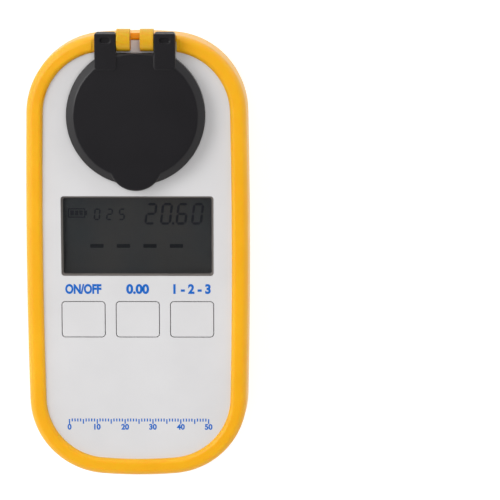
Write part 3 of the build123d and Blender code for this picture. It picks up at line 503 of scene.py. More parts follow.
@dataclass(frozen=True)
class Rubber(Finish):
    """Moulded silicone or nitrile: dull, with a slight dusty bloom and a grain drawn coarser than life."""

    shade: str
    bloom: str
    grain_mm: float = 0.5
    grain_depth_mm: float = 0.02
    dust_mm: float = 6.0
    roughness: float = 0.78
    gloss: float = 0.35

    def surface(self, tree: Tree, place: Socket) -> dict[str, Any]:
        """Draws the bloom and the grain.

        Args:
            tree: the material's tree.
            place: the piece's own coordinates.

        Returns:
            The inputs of the principled surface.
        """
        tone = mottled(tree, place, self.dust_mm, 6.0, [(0.35, self.shade), (0.8, self.bloom)])
        specks = {"Vector": place, "Scale": 1 / (self.grain_mm * MM), "Detail": 2.0}
        grain = add_node(tree, "ShaderNodeTexNoise", specks)
        pits = {"Height": grain.outputs["Fac"], "Distance": self.grain_depth_mm * MM, "Strength": 0.6}
        relief = add_node(tree, "ShaderNodeBump", pits)
        return {
            "Base Color": tone,
            "Roughness": self.roughness,
            "Normal": relief.outputs["Normal"],
            "Specular IOR Level": self.gloss,
        }


@dataclass(frozen=True)
class WorkedMetal(Finish):
    """Bare or plated metal with the fine marks of its tool, drawn wider than life so they show."""

    dark: str
    bright: str
    roughness: float
    lay: Lay
    line_mm: float
    centre_mm: Point = (0.0, 0.0)
    line_depth_mm: float = 0.006
    squeeze: float = 0.02
    spread: Point = (0.05, 0.08)

    def lines(self, tree: Tree, place: Socket) -> Socket:
        """Draws the tool's marks.

        Args:
            tree: the material's tree.
            place: the piece's own coordinates.

        Returns:
            The marks' height.
        """
        scale = 1 / (self.line_mm * MM)
        if self.lay is Lay.RINGS:
            offset = (-self.centre_mm[0] * MM, -self.centre_mm[1] * MM, 0)
            flat = {"Vector": place, "Location": offset, "Scale": (1, 1, 0)}
            spot = add_node(tree, "ShaderNodeMapping", flat).outputs["Vector"]
            radius = add_node(tree, "ShaderNodeVectorMath", {0: spot}, operation="LENGTH").outputs["Value"]
            rings = {"W": radius, "Scale": scale, "Detail": 3.0}
            return add_node(tree, "ShaderNodeTexNoise", rings, noise_dimensions="1D").outputs["Fac"]
        stretch = (self.squeeze, 1, 1) if self.lay is Lay.ALONG_X else (1, 1, self.squeeze)
        drawn = add_node(tree, "ShaderNodeMapping", {"Vector": place, "Scale": stretch}).outputs["Vector"]
        strokes = {"Vector": drawn, "Scale": scale, "Detail": 3.0}
        return add_node(tree, "ShaderNodeTexNoise", strokes).outputs["Fac"]

    def surface(self, tree: Tree, place: Socket) -> dict[str, Any]:
        """Lets the tool's marks turn the metal darker, duller and deeper.

        Args:
            tree: the material's tree.
            place: the piece's own coordinates.

        Returns:
            The inputs of the principled surface.
        """
        line = self.lines(tree, place)
        tone = add_node(tree, "ShaderNodeValToRGB", {"Fac": line}, [(0.3, self.dark), (0.7, self.bright)])
        smooth, dull = self.roughness - self.spread[0], self.roughness + self.spread[1]
        sheen = add_node(tree, "ShaderNodeMapRange", {"Value": line, "To Min": smooth, "To Max": dull})
        scratches = {"Height": line, "Distance": self.line_depth_mm * MM, "Strength": 0.5}
        relief = add_node(tree, "ShaderNodeBump", scratches)
        return {
            "Base Color": tone.outputs["Color"],
            "Metallic": 1.0,
            "Roughness": sheen.outputs["Result"],
            "Normal": relief.outputs["Normal"],
        }


@dataclass(frozen=True)
class ClearSolid(Finish):
    """Glass, acrylic or epoxy that light passes through, with faint wiping marks on its surface."""

    tint: str
    ior: float
    roughness: float = 0.02
    wiping_mm: float = 9.0
    haze: float = 0.05

    def surface(self, tree: Tree, place: Socket) -> dict[str, Any]:
        """Draws the wiping marks.

        Args:
            tree: the material's tree.
            place: the piece's own coordinates.

        Returns:
            The inputs of the principled surface.
        """
        dull = self.roughness + self.haze
        return {
            "Base Color": linear(self.tint),
            "Transmission Weight": 1.0,
            "Roughness": marked(tree, place, self.wiping_mm, 4.0, self.roughness, dull)[1],
            "IOR": self.ior,
        }


@dataclass(frozen=True)
class PolariserFilm(Finish):
    """Polariser on a liquid crystal glass: grey, slightly clouded, with a smooth coat over it."""

    shade: str
    light: str
    cloud_mm: float = 22.0
    roughness: float = 0.42
    gloss: float = 0.4
    coat: float = 0.15
    coat_roughness: float = 0.12

    def surface(self, tree: Tree, place: Socket) -> dict[str, Any]:
        """Draws the clouds of the film.

        Args:
            tree: the material's tree.
            place: the piece's own coordinates.

        Returns:
            The inputs of the principled surface.
        """
        return {
            "Base Color": mottled(tree, place, self.cloud_mm, 2.0, [(0.35, self.shade), (0.65, self.light)]),
            "Roughness": self.roughness,
            "Specular IOR Level": self.gloss,
            "Coat Weight": self.coat,
            "Coat Roughness": self.coat_roughness,
        }


@dataclass(frozen=True)
class PrintedInk(Finish):
    """Pad-printed ink or a coloured film: flat, and a little uneven in how densely it covers.

    The unevenness of real ink is finer than can show and is drawn coarser.
    """

    thin: str
    full: str
    roughness: float = 0.5
    cover_mm: float = 0.6
    gloss: float = 0.35

    def surface(self, tree: Tree, place: Socket) -> dict[str, Any]:
        """Draws the uneven cover.

        Args:
            tree: the material's tree.
            place: the piece's own coordinates.

        Returns:
            The inputs of the principled surface.
        """
        return {
            "Base Color": mottled(tree, place, self.cover_mm, 3.0, [(0.25, self.thin), (0.6, self.full)]),
            "Roughness": self.roughness,
            "Specular IOR Level": self.gloss,
        }


@dataclass(frozen=True)
class CircuitLaminate(Finish):
    """Glass-fibre board under green solder mask, with slightly raised copper tracks.

    Real tracks are a few tenths of a millimetre apart, too fine to show, and are drawn coarser.
    """

    mask: str
    track: str
    track_mm: float = 1.6
    track_depth_mm: float = 0.03
    roughness: float = 0.32

    def surface(self, tree: Tree, place: Socket) -> dict[str, Any]:
        """Draws the tracks.

        Args:
            tree: the material's tree.
            place: the piece's own coordinates.

        Returns:
            The inputs of the principled surface.
        """
        tracks = add_node(
            tree,
            "ShaderNodeTexBrick",
            {
                "Vector": place,
                "Color1": linear(self.mask),
                "Color2": linear(self.mask),
                "Mortar": linear(self.track),
                "Scale": 1 / (self.track_mm * MM),
                "Mortar Size": 0.06,
                "Brick Width": 3.2,
                "Row Height": 0.8,
            },
            offset=0.35,
            squash=1.6,
            squash_frequency=3,
        )
        raised = {"Height": tracks.outputs["Fac"], "Distance": self.track_depth_mm * MM, "Strength": 0.5}
        relief = add_node(tree, "ShaderNodeBump", raised)
        return {
            "Base Color": tracks.outputs["Color"],
            "Roughness": self.roughness,
            "Normal": relief.outputs["Normal"],
        }


@dataclass(frozen=True)
class BandedSkin(Finish):
    """A smooth skin with bands of colour along X: a cell's wrap or a chip part's metal ends."""

    bands: tuple[tuple[float, str], ...]
    low_mm: float
    high_mm: float
    metallic: float
    roughness: float
    scuff_mm: float = 3.0
    spread: Point = (0.05, 0.1)

    def surface(self, tree: Tree, place: Socket) -> dict[str, Any]:
        """Draws the bands and the scuffs.

        Args:
            tree: the material's tree.
            place: the piece's own coordinates.

        Returns:
            The inputs of the principled surface.
        """
        parts = add_node(tree, "ShaderNodeSeparateXYZ", {"Vector": place})
        reach = {"Value": parts.outputs["X"], "From Min": self.low_mm * MM, "From Max": self.high_mm * MM}
        along = add_node(tree, "ShaderNodeMapRange", reach)
        tone = add_node(tree, "ShaderNodeValToRGB", {"Fac": along.outputs["Result"]}, self.bands)
        tone.color_ramp.interpolation = "CONSTANT"
        smooth, dull = self.roughness - self.spread[0], self.roughness + self.spread[1]
        return {
            "Base Color": tone.outputs["Color"],
            "Metallic": self.metallic,
            "Roughness": marked(tree, place, self.scuff_mm, 4.0, smooth, dull)[1],
        }


# Satin ABS of frame, back and door: soft even highlights, and warm light inside the thin rim.
YELLOW = MouldedPlastic("yellow_abs_satin", "efac0d", "f6b416", 0.42, glow=0.4, gloss=0.42, edge_mm=0.1)
# The same ABS on the knuckles, a little darker and smoother.
KNUCKLE_YELLOW = MouldedPlastic(
    "knuckle_abs_satin", "d4a012", "dba81a", 0.4, glow=0.4, gloss=0.38, edge_mm=0.3
)
# Painted shade: the hollow between the knuckles gets a deeper, matt orange of the same ABS, standing in for
# the shade and warm bounced light that fall there.
HOLLOW_PAINTED_SHADE = MouldedPlastic("hollow_abs_painted_shade", "e28a04", "e89208", 0.6, glow=0.4, gloss=0.1)
# Satin ABS of the face: a cool off-white with an even soft sheen.
WHITE = MouldedPlastic("white_abs_satin", "d4d3d4", "d9d8d9", 0.5, edge_mm=0.2)
# ABS of the keys, a little smoother than the face, so that their edges catch light.
KEY_WHITE = MouldedPlastic("key_abs_satin", "d4d3d4", "d9d8d9", 0.46, edge_mm=0.25)
# Satin ABS of the lid: nearly black, with paler bevels where it mirrors the bright sides.
BLACK = MouldedPlastic("black_abs_satin", "100e12", "151317", 0.36, grain_depth_mm=0.01, edge_mm=0.35)
# Turned acetal of the collar: black and smoother than the lid.
COLLAR_BLACK = MouldedPlastic("black_acetal", "161618", "1b1b1d", 0.3)
# Matt moulded nylon of the optical block: it swallows stray light.
OPTICS_BLACK = MouldedPlastic("black_nylon_matt", "111112", "161617", 0.7)
# Moulded polycarbonate of the display's holder: milky and plain.
HOLDER_WHITE = MouldedPlastic("holder_polycarbonate", "c9c8c2", "d1d0cb", 0.5)
# Glass-filled nylon of the switches: dark grey and dull.
SWITCH_BLACK = MouldedPlastic("switch_nylon", "2a2a2c", "323234", 0.5)
# Moulded acetal of the switch plungers: brick red, slightly waxy.
PLUNGER_RED = MouldedPlastic("plunger_acetal", "b03426", "bd3c2c", 0.45)
# Moulded nylon of the flat cable's connector: ivory.
CONNECTOR_IVORY = MouldedPlastic("connector_nylon", "c8bfa4", "d2c9b0", 0.5)
# Moulded epoxy of chips: charcoal, matt and finely pitted.
CHIP_BLACK = MouldedPlastic("moulded_epoxy_black", "222223", "2a2a2b", 0.65, grain_mm=0.2)
# Extruded PVC of the two leads: smooth, with a soft shine.
LEAD_RED = MouldedPlastic("lead_pvc_red", "a81c1a", "b52220", 0.4)
LEAD_BLACK = MouldedPlastic("lead_pvc_black", "1c1c1d", "232324", 0.4)
# Nitrile rubber of all seals: dull black with a grey bloom.
SEAL_RUBBER = Rubber("nitrile_rubber_black", "1a1a1a", "2b2b2a")
# Rubber gasket of the window: a thin warm grey line round it.
WINDOW_RUBBER = Rubber("window_gasket_rubber", "6b6663", "78726e")
# Silicone of the display's contact strips: dusty pink.
STRIP_RUBBER = Rubber("contact_rubber_pink", "b97d80", "c48b8d")
# Clear cast acrylic of the window: a faint grey tint and wiping marks.
PANE = ClearSolid("clear_acrylic", "d9dcdb", 1.49)
# Ground and polished flint glass of the prism: very clear, and bright at its edges.
PRISM_GLASS = ClearSolid("flint_glass", "eef3f2", 1.62, 0.0)
# Polished crown glass of the small lens: clear, with strong highlights.
LENS_GLASS = ClearSolid("crown_glass", "f0f5f6", 1.52, 0.0)
# Cast epoxy of the lamp: amber and slightly cloudy.
LAMP_EPOXY = ClearSolid("lamp_epoxy_amber", "f2c25a", 1.55, 0.05)
# Laminated polariser on the display glass: dark behind its pane, cooler and warmer in wide clouds.
FILM = PolariserFilm("polariser_film_dark", "6d6e74", "7c7575")
# Switched segments: only a little darker than the film round them.
SEGMENT_INK = PrintedInk("liquid_crystal_segment", "413f4c", "3a3845", 0.4)
# The dashes, which are switched harder and stand out more.
DASH_INK = PrintedInk("liquid_crystal_dash", "34323f", "2e2c39", 0.4)
# Pad-printed blue of the face's marks, slightly uneven in cover.
BLUE_INK = PrintedInk("blue_pad_print", "0c69c3", "0661bd")
# Solder mask over copper tracks: glossy green with paler raised lines.
BOARD = CircuitLaminate("green_solder_mask", "1c5a34", "2f7a48")
# Turned brass inserts: golden, with fine lines along their length.
BRASS = WorkedMetal("turned_brass", "b3883a", "cfa650", 0.3, Lay.ALONG_Z, 0.3)
# Zinc-plated screws: cool grey with a soft drawn shine.
ZINC = WorkedMetal("zinc_plated_steel", "8f9194", "b4b6b9", 0.34, Lay.ALONG_X, 0.25)
# Ground steel hinge pins: bright, with very fine lines.
PIN_STEEL = WorkedMetal("ground_steel_pin", "a2a4a6", "c4c5c7", 0.22, Lay.ALONG_X, 0.15)
# Nickel-plated spring steel of the contacts: warm silver.
NICKEL = WorkedMetal("nickel_plated_spring_steel", "b5b3ac", "cfcdc6", 0.25, Lay.ALONG_Z, 0.4)
# Polyimide film of the flat cable: brown-orange and shiny.
POLYIMIDE = PrintedInk("polyimide_film", "a8611c", "b96f24", 0.28)
# Fired ceramic of the small chip parts and the probe's bead: brown in the middle, tinned at the ends.
CERAMIC = BandedSkin(
    "chip_part_ceramic", ((0.0, "b9b7b2"), (0.22, "9a7450"), (0.78, "b9b7b2")), -18.0, 18.0, 0.0, 0.4
)


# Dressing


@lru_cache(maxsize=None)
def stuff(finish: Finish) -> bpy.types.Material:
    """Builds a finish once, so that all the pieces that it covers share one material."""
    return finish.material()


def dress(piece: bpy.types.Object, *finishes: Finish) -> None:
    """Gives a piece its finishes in place of any that it has.

    Args:
        piece: the piece.
        finishes: the finishes, in the order that its faces number them.
    """
    piece.data.materials.clear()
    for finish in finishes:
        piece.data.materials.append(stuff(finish))


def dress_nodes(finishes: dict[str, Finish]) -> None:
    """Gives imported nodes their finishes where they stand.

    Args:
        finishes: the finish of each node.
    """
    for node, finish in finishes.items():
        dress(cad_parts[node], finish)
        LOG.info("%s is of %s", node, finish.name)


# Sub-assemblies


@dataclass
class CaseShells:
    """The yellow frame and back, the white face, the seal between them and the case screws.

    The frame's knuckles have their own tone of the yellow, and the hollow between them a deeper orange that
    is painted shade.
    """

    moulded_edge_mm: float = 0.18
    opening_edge_mm: float = 0.16
    knuckle_rise_mm: float = 1.4
    # The reach of the hollow's painted shade.
    hollow_half_mm: float = 9.0
    hollow_reach_mm: float = 6.5
    hollow_deep_mm: float = 3.1

    def tone_knuckles(self, skin: bpy.types.Object) -> None:
        """Gives the knuckles the frame's second finish, and the hollow between them its third, the painted
        shade.

        Args:
            skin: the frame's skin.
        """
        knuckle_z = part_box("front_shell")[1].z + self.knuckle_rise_mm * MM
        hollow_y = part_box("surround")[1].y - self.hollow_reach_mm * MM
        hollow_z = knuckle_z - self.hollow_deep_mm * MM
        for face in skin.data.polygons:
            near = abs(face.center.x) < self.hollow_half_mm * MM and face.center.y > hollow_y
            if face.center.z > knuckle_z:
                face.material_index = 1
            # The hollow between the knuckles takes the painted shade.
            elif near and face.center.z > hollow_z:
                face.material_index = 2

    def build(self) -> None:
        """Makes and dresses the outer case."""
        edge = self.moulded_edge_mm
        rim = softened("surround", "yellow_surround", edge, Body.CASE, "yellow_plastic")
        dress(rim, YELLOW, KNUCKLE_YELLOW, HOLLOW_PAINTED_SHADE)
        self.tone_knuckles(rim)
        back = softened("rear_shell", "yellow_back", edge, Body.CASE, "yellow_plastic")
        dress(back, YELLOW)
        face = softened("front_shell", "white_face", self.opening_edge_mm, Body.CASE, "white_plastic")
        dress(face, WHITE)
        dress_nodes({"case_seal": SEAL_RUBBER, "case_screws": ZINC})


@dataclass
class HingedLid:
    """The black lid with its rubber ring and its two hinge pins."""

    moulded_edge_mm: float = 0.32

    def build(self) -> None:
        """Makes and dresses the lid."""
        lid = softened("lid_shell", "black_lid", self.moulded_edge_mm, Body.LID, "lid_plastic")
        dress(lid, BLACK)
        dress_nodes({"lid_seal": SEAL_RUBBER, "hinge_pin_right": PIN_STEEL, "hinge_pin_left": PIN_STEEL})


@dataclass
class SampleWell:
    """The collar, the turned steel dish, the prism and the optics beneath it."""

    turning_mm: float = 0.28

    def build(self) -> None:
        """Dresses the well and the optical block."""
        low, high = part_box("sample_dish")
        middle = (low + high) / 2
        centre = (middle.x / MM, middle.y / MM)
        # Turned stainless steel of the dish: bright, with fine rings about its middle.
        steel = WorkedMetal(
            "stainless_steel_turned", "a4a5a6", "c9cacb", 0.2, Lay.RINGS, self.turning_mm, centre
        )
        dress_nodes(
            {
                "well_collar": COLLAR_BLACK,
                "sample_dish": steel,
                "prism": PRISM_GLASS,
                "prism_seal": SEAL_RUBBER,
                "optics_housing": OPTICS_BLACK,
                "optics_cover": OPTICS_BLACK,
                "optics_screws": ZINC,
                "lamp": LAMP_EPOXY,
                "imaging_lens": LENS_GLASS,
                "image_sensor": CHIP_BLACK,
                "sensor_board": BOARD,
                "temperature_probe": CERAMIC,
            }
        )


SEVEN_SEGMENTS = {
    "0": "abcdef",
    "1": "bc",
    "2": "abged",
    "3": "abgcd",
    "4": "fgbc",
    "5": "afgcd",
    "6": "afgedc",
    "7": "abc",
    "8": "abcdefg",
    "9": "abcdfg",
}


@dataclass(frozen=True)
class SegmentDigits:
    """A row of slanted seven-segment digits, with places in mm from the display's middle."""

    digits: str
    left: float
    low: float
    width: float
    height: float
    stroke: float
    pitch: float
    slant_deg: float = 7.0
    gap_share: float = 0.12

    def bar(self, start: Point, end: Point) -> Outline:
        """Makes one segment, pointed at both ends.

        Args:
            start: its left or lower end.
            end: its right or upper end.

        Returns:
            Its outline, anticlockwise.
        """
        (x0, y0), (x1, y1) = start, end
        half = self.stroke / 2
        gap = self.stroke * self.gap_share
        if y0 == y1:
            x0, x1 = x0 + gap, x1 - gap
            below = [(x0, y0), (x0 + half, y0 - half), (x1 - half, y0 - half)]
            return below + [(x1, y0), (x1 - half, y0 + half), (x0 + half, y0 + half)]
        y0, y1 = y0 + gap, y1 - gap
        right = [(x0, y0), (x0 + half, y0 + half), (x0 + half, y1 - half)]
        return right + [(x0, y1), (x0 - half, y1 - half), (x0 - half, y0 + half)]

    def digit(self, character: str) -> list[Outline]:
        """Makes one digit, standing upright at the origin.

        Args:
            character: the digit.

        Returns:
            The outlines of its segments.
        """
        half = self.stroke / 2
        left, right = half, self.width - half
        low, mid, high = half, self.height / 2, self.height - half
        runs = {
            "a": ((left, high), (right, high)),
            "b": ((right, mid), (right, high)),
            "c": ((right, low), (right, mid)),
            "d": ((left, low), (right, low)),
            "e": ((left, low), (left, mid)),
            "f": ((left, mid), (left, high)),
            "g": ((left, mid), (right, mid)),
        }
        return [self.bar(*runs[key]) for key in SEVEN_SEGMENTS[character]]

    def outlines(self, middle: Point) -> list[Outline]:
        """Lays the row out on the display.

        Args:
            middle: the display's middle in mm.

        Returns:
            One outline for each segment and each decimal point.
        """
        shapes: list[Outline] = []
        x = self.left
        dot = self.stroke
        for character in self.digits:
            if character == ".":
                x_dot = x - self.pitch + self.width + (self.pitch - self.width) / 2 - dot / 2
                shapes.append([(x_dot, 0.0), (x_dot + dot, 0.0), (x_dot + dot, dot), (x_dot, dot)])
                continue
            shapes.extend([(px + x, py) for px, py in shape] for shape in self.digit(character))
            x += self.pitch
        lean = math.tan(math.radians(self.slant_deg))
        return [
            [(middle[0] + px + py * lean, middle[1] + self.low + py) for px, py in shape] for shape in shapes
        ]


class BarRow:
    """Geometry Nodes tree that lays out a row of flat bars, every nth of them longer."""

    def __init__(self) -> None:
        """Builds the tree with its named inputs."""
        tree = bpy.data.node_groups.new("row_of_bars", "GeometryNodeTree")
        sockets = tree.interface
        sockets.new_socket("Geometry", in_out="OUTPUT", socket_type="NodeSocketGeometry")
        for name, kind in (
            ("Count", "NodeSocketInt"),
            ("Pitch", "NodeSocketFloat"),
            ("Start", "NodeSocketVector"),
            ("Bar", "NodeSocketVector"),
            ("Long every", "NodeSocketInt"),
            ("Long share", "NodeSocketFloat"),
            ("Stuff", "NodeSocketMaterial"),
        ):
            sockets.new_socket(name, in_out="INPUT", socket_type=kind)
        given = add_node(tree, "NodeGroupInput").outputs
        step = add_node(tree, "ShaderNodeCombineXYZ", {"X": given["Pitch"]}).outputs["Vector"]
        row = {"Count": given["Count"], "Start Location": given["Start"], "Offset": step}
        line = add_node(tree, "GeometryNodeMeshLine", row).outputs["Mesh"]
        # A bar is a long one where its number divides by "Long every".
        number = add_node(tree, "GeometryNodeInputIndex").outputs["Index"]
        turn = add_node(tree, "ShaderNodeMath", {0: number, 1: given["Long every"]}, operation="MODULO")
        is_long = add_node(tree, "ShaderNodeMath", {0: turn.outputs[0], 1: 0.5}, operation="LESS_THAN")
        growth = {0: is_long.outputs[0], 1: given["Long share"]}
        extra = add_node(tree, "ShaderNodeMath", growth, operation="MULTIPLY").outputs[0]
        length = add_node(tree, "ShaderNodeMath", {0: extra, 1: 1.0}, operation="ADD").outputs[0]
        stretch = add_node(tree, "ShaderNodeCombineXYZ", {"X": 1.0, "Y": length, "Z": 1.0})
        bar = add_node(tree, "GeometryNodeMeshCube", {"Size": given["Bar"]}).outputs["Mesh"]
        stand = {"Points": line, "Instance": bar, "Scale": stretch.outputs["Vector"]}
        copies = add_node(tree, "GeometryNodeInstanceOnPoints", stand).outputs["Instances"]
        # A long bar moves down by half of what it is longer, so that all the tops stay in line.
        size = add_node(tree, "ShaderNodeSeparateXYZ", {"Vector": given["Bar"]}).outputs["Y"]
        drop = add_node(tree, "ShaderNodeMath", {0: extra, 1: size}, operation="MULTIPLY").outputs[0]
        half_drop = add_node(tree, "ShaderNodeMath", {0: drop, 1: -0.5}, operation="MULTIPLY").outputs[0]
        shift = add_node(tree, "ShaderNodeCombineXYZ", {"Y": half_drop}).outputs["Vector"]
        move = {"Instances": copies, "Translation": shift}
        hung = add_node(tree, "GeometryNodeTranslateInstances", move).outputs["Instances"]
        real = add_node(tree, "GeometryNodeRealizeInstances", {0: hung}).outputs[0]
        skin = {"Geometry": real, "Material": given["Stuff"]}
        dressed = add_node(tree, "GeometryNodeSetMaterial", skin).outputs["Geometry"]
        add_node(tree, "NodeGroupOutput", {"Geometry": dressed})
        self.tree = tree

    def lay(self, name: str, values: dict[str, Any]) -> bpy.types.Object:
        """Runs the tree once.

        Args:
            name: the piece's name.
            values: the tree's inputs by name, in metres.

        Returns:
            A plain mesh of the bars.
        """
        piece = linked(name, bmesh.new())
        modifier = piece.modifiers.new("bars", "NODES")
        modifier.node_group = self.tree
        for item in self.tree.interface.items_tree:
            if item.in_out == "INPUT" and item.name in values:
                modifier[item.identifier] = values[item.name]
        return freeze(piece)


@dataclass
class Display:
    """The clear pane, the dark glass and what it shows, placed in mm from the display's middle."""

    film_mm: float = 0.03
    battery_low: Point = (-18.2, 4.65)
    battery_size: Point = (4.5, 2.5)
    battery_line: float = 0.3
    battery_tip: Point = (0.5, 1.2)
    charge_bars: int = 3
    charge_gap: float = 0.225
    charge_margin: float = 0.6
    dash_left: float = -12.45
    dash_pitch: float = 6.95
    dash_size: Point = (3.5, 1.0)
    dash_low: float = -3.3
    dash_count: int = 4
    small: SegmentDigits = SegmentDigits("025", -11.55, 3.97, 1.7, 3.16, 0.42, 3.24, 5.0)
    large: SegmentDigits = SegmentDigits("20.60", 1.69, 2.8, 2.95, 5.75, 0.66, 4.07)
    pane_lip: float = 1.1
    gasket_w: float = 0.5
    gasket_drop: float = 0.12
    gasket_clear: float = 0.02
    window_corner: float = 0.8

    def middle(self) -> Point:
        """Gives the display's middle in mm."""
        low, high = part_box("display_glass")
        return (low.x + high.x) / 2 / MM, (low.y + high.y) / 2 / MM

    def box_outline(self, x: float, y: float, width: float, height: float) -> Outline:
        """Makes a rectangle.

        Args:
            x: its left side, from the display's middle.
            y: its lower side, from the display's middle.
            width: its width.
            height: its height.

        Returns:
            Its outline, anticlockwise and in mm of the part.
        """
        mid_x, mid_y = self.middle()
        x, y = x + mid_x, y + mid_y
        return [(x, y), (x + width, y), (x + width, y + height), (x, y + height)]

    def battery(self) -> list[Outline]:
        """Makes the battery sign: a box of four lines, a tip and its bars of charge.

        Returns:
            The sign's outlines.
        """
        (x, y), (width, height), line = self.battery_low, self.battery_size, self.battery_line
        tip_w, tip_h = self.battery_tip
        shapes = [
            (x, y, width, line),
            (x, y + height - line, width, line),
            (x, y + line, line, height - 2 * line),
            (x + width - line, y + line, line, height - 2 * line),
            (x + width, y + (height - tip_h) / 2, tip_w, tip_h),
        ]
        edge, bars, gap = self.charge_margin, self.charge_bars, self.charge_gap
        bar = (width - 2 * edge - (bars - 1) * gap) / bars
        for number in range(bars):
            shapes.append((x + edge + number * (bar + gap), y + edge, bar, height - 2 * edge))
        return [self.box_outline(*shape) for shape in shapes]

    def gasket(self) -> bpy.types.Object:
        """Makes the thin sloped gasket that shows round the pane, inside the face's opening.

        Returns:
            The gasket as a closed ring.
        """
        face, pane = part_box("front_shell")[1].z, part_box("display_pane")
        reach = self.pane_lip + self.gasket_clear
        width, height = [(high - low) / MM - 2 * reach for low, high in zip(*pane)][:2]
        middle = self.middle()
        outer = rounded_outline(width, height, self.window_corner, middle)
        inset = self.gasket_w
        inner = rounded_outline(width - 2 * inset, height - 2 * inset, self.window_corner - inset / 2, middle)
        low = pane[1].z + self.gasket_clear * MM
        high = face - self.gasket_drop * MM
        return closed_ring("window_gasket", [(outer, low), (outer, high), (inner, low)])

    def build(self, bars: BarRow) -> None:
        """Makes the shown signs and dresses the display stack.

        Args:
            bars: the tree that lays out the dashes.
        """
        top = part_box("display_glass")[1].z
        middle = self.middle()
        shapes = self.battery() + self.small.outlines(middle) + self.large.outlines(middle)
        signs = plates("display_signs", shapes, top, self.film_mm)
        dress(signs, SEGMENT_INK)
        settle(signs, Body.CASE)
        width, height = self.dash_size
        start = (
            (middle[0] + self.dash_left + width / 2) * MM,
            (middle[1] + self.dash_low + height / 2) * MM,
            top + self.film_mm * MM / 2,
        )
        dashes = bars.lay(
            "display_dashes",
            {
                "Count": self.dash_count,
                "Pitch": self.dash_pitch * MM,
                "Start": start,
                "Bar": (width * MM, height * MM, self.film_mm * MM),
                "Long every": 1,
                "Long share": 0.0,
                "Stuff": stuff(DASH_INK),
            },
        )
        settle(dashes, Body.CASE)
        gasket = self.gasket()
        dress(gasket, WINDOW_RUBBER)
        settle(gasket, Body.CASE)
        dress_nodes(
            {
                "display_pane": PANE,
                "display_glass": FILM,
                "display_holder": HOLDER_WHITE,
                "contact_strips": STRIP_RUBBER,
            }
        )


@dataclass
class Keypad:
    """Three flush keys with their plungers and switches, and the marks printed over them.

    Each row of keys holds a name, a body, what its mark says and how wide that is in mm.
    """

    moulded_edge_mm: float = 0.2
    mark_rise: float = 8.14
    mark_height: float = 2.4
    ink_mm: float = 0.02
    keys: tuple[tuple[str, Body, str, float], ...] = (
        ("read", Body.READ, "ON/OFF", 9.5),
        ("calibrate", Body.CALIBRATE, "0.00", 6.0),
        ("scale", Body.SCALE, "1 - 2 - 3", 9.8),
    )

    def build(self) -> None:
        """Makes the keys and their marks."""
        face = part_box("front_shell")[1].z
        marks = []
        for name, body, words, width in self.keys:
            cap = softened(f"{name}_key", f"{name}_cap", self.moulded_edge_mm, body, "key_plastic")
            dress(cap, KEY_WHITE)
            dress_nodes({f"{name}_plunger": PLUNGER_RED, f"{name}_switch": SWITCH_BLACK})
            low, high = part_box(f"{name}_key")
            middle = (low + high) / 2 / MM
            place = (middle.x, middle.y + self.mark_rise)
            marks.append(lettered(f"{name}_mark", words, place, self.mark_height, face, self.ink_mm, width))
        print_row = joined("key_marks", marks)
        dress(print_row, BLUE_INK)
        settle(print_row, Body.CASE)


@dataclass
class FaceScale:
    """A plain printed rule with numbers, low on the white face, in mm from the case's middle."""

    left: float = -18.3
    width: float = 36.8
    high: float = -43.15
    divisions: int = 50
    long_every: int = 5
    number_every: int = 10
    tick: Point = (0.32, 0.8)
    long_share: float = 0.6
    number_height: float = 1.45
    number_drop: float = 2.2
    ink_mm: float = 0.02

    def build(self, bars: BarRow) -> None:
        """Makes the rule and its numbers.

        Args:
            bars: the tree that lays out the rule's lines.
        """
        low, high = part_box("rear_shell")
        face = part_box("front_shell")[1].z
        centre_y = (low.y + high.y) / 2 / MM
        pitch = self.width / self.divisions
        top = centre_y + self.high
        start = (self.left * MM, (top - self.tick[1] / 2) * MM, face + self.ink_mm * MM / 2)
        ticks = bars.lay(
            "face_rule",
            {
                "Count": self.divisions + 1,
                "Pitch": pitch * MM,
                "Start": start,
                "Bar": (self.tick[0] * MM, self.tick[1] * MM, self.ink_mm * MM),
                "Long every": self.long_every,
                "Long share": self.long_share,
                "Stuff": stuff(BLUE_INK),
            },
        )
        settle(ticks, Body.CASE)
        numbers = []
        for number in range(0, self.divisions + 1, self.number_every):
            place = (self.left + number * pitch, top - self.number_drop)
            name, words = f"number_{number}", str(number)
            numbers.append(lettered(name, words, place, self.number_height, face, self.ink_mm))
        row = joined("face_numbers", numbers)
        dress(row, BLUE_INK)
        settle(row, Body.CASE)


@dataclass
class PowerBay:
    """The battery cell, its contacts and leads, and the screwed door in the back."""

    moulded_edge_mm: float = 0.18

    def build(self) -> None:
        """Makes and dresses the battery bay."""
        door = softened("battery_door", "yellow_door", self.moulded_edge_mm, Body.DOOR, "yellow_plastic")
        dress(door, YELLOW)
        low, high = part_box("battery_cell")
        # Printed shrink wrap of the cell: smooth dark and copper bands between bare metal ends.
        bands = ((0.0, "b9bab8"), (0.03, "20242c"), (0.66, "c98a3c"), (0.93, "b9bab8"))
        wrap = BandedSkin("printed_cell_wrap", bands, low.x / MM, high.x / MM, 0.6, 0.28)
        dress_nodes(
            {
                "battery_cell": wrap,
                "positive_contact": NICKEL,
                "negative_contact": NICKEL,
                "positive_lead": LEAD_RED,
                "negative_lead": LEAD_BLACK,
                "door_seal": SEAL_RUBBER,
                "door_screws": ZINC,
                "door_inserts": BRASS,
            }
        )


class Electronics:
    """The main board with its chip, small parts and flat cable."""

    def build(self) -> None:
        """Dresses the board and what it carries."""
        dress_nodes(
            {
                "main_board": BOARD,
                "board_screws": ZINC,
                "controller_chip": CHIP_BLACK,
                "board_parts": CERAMIC,
                "flex_connector": CONNECTOR_IVORY,
                "flex_cable": POLYIMIDE,
            }
        )


# Table, light and camera


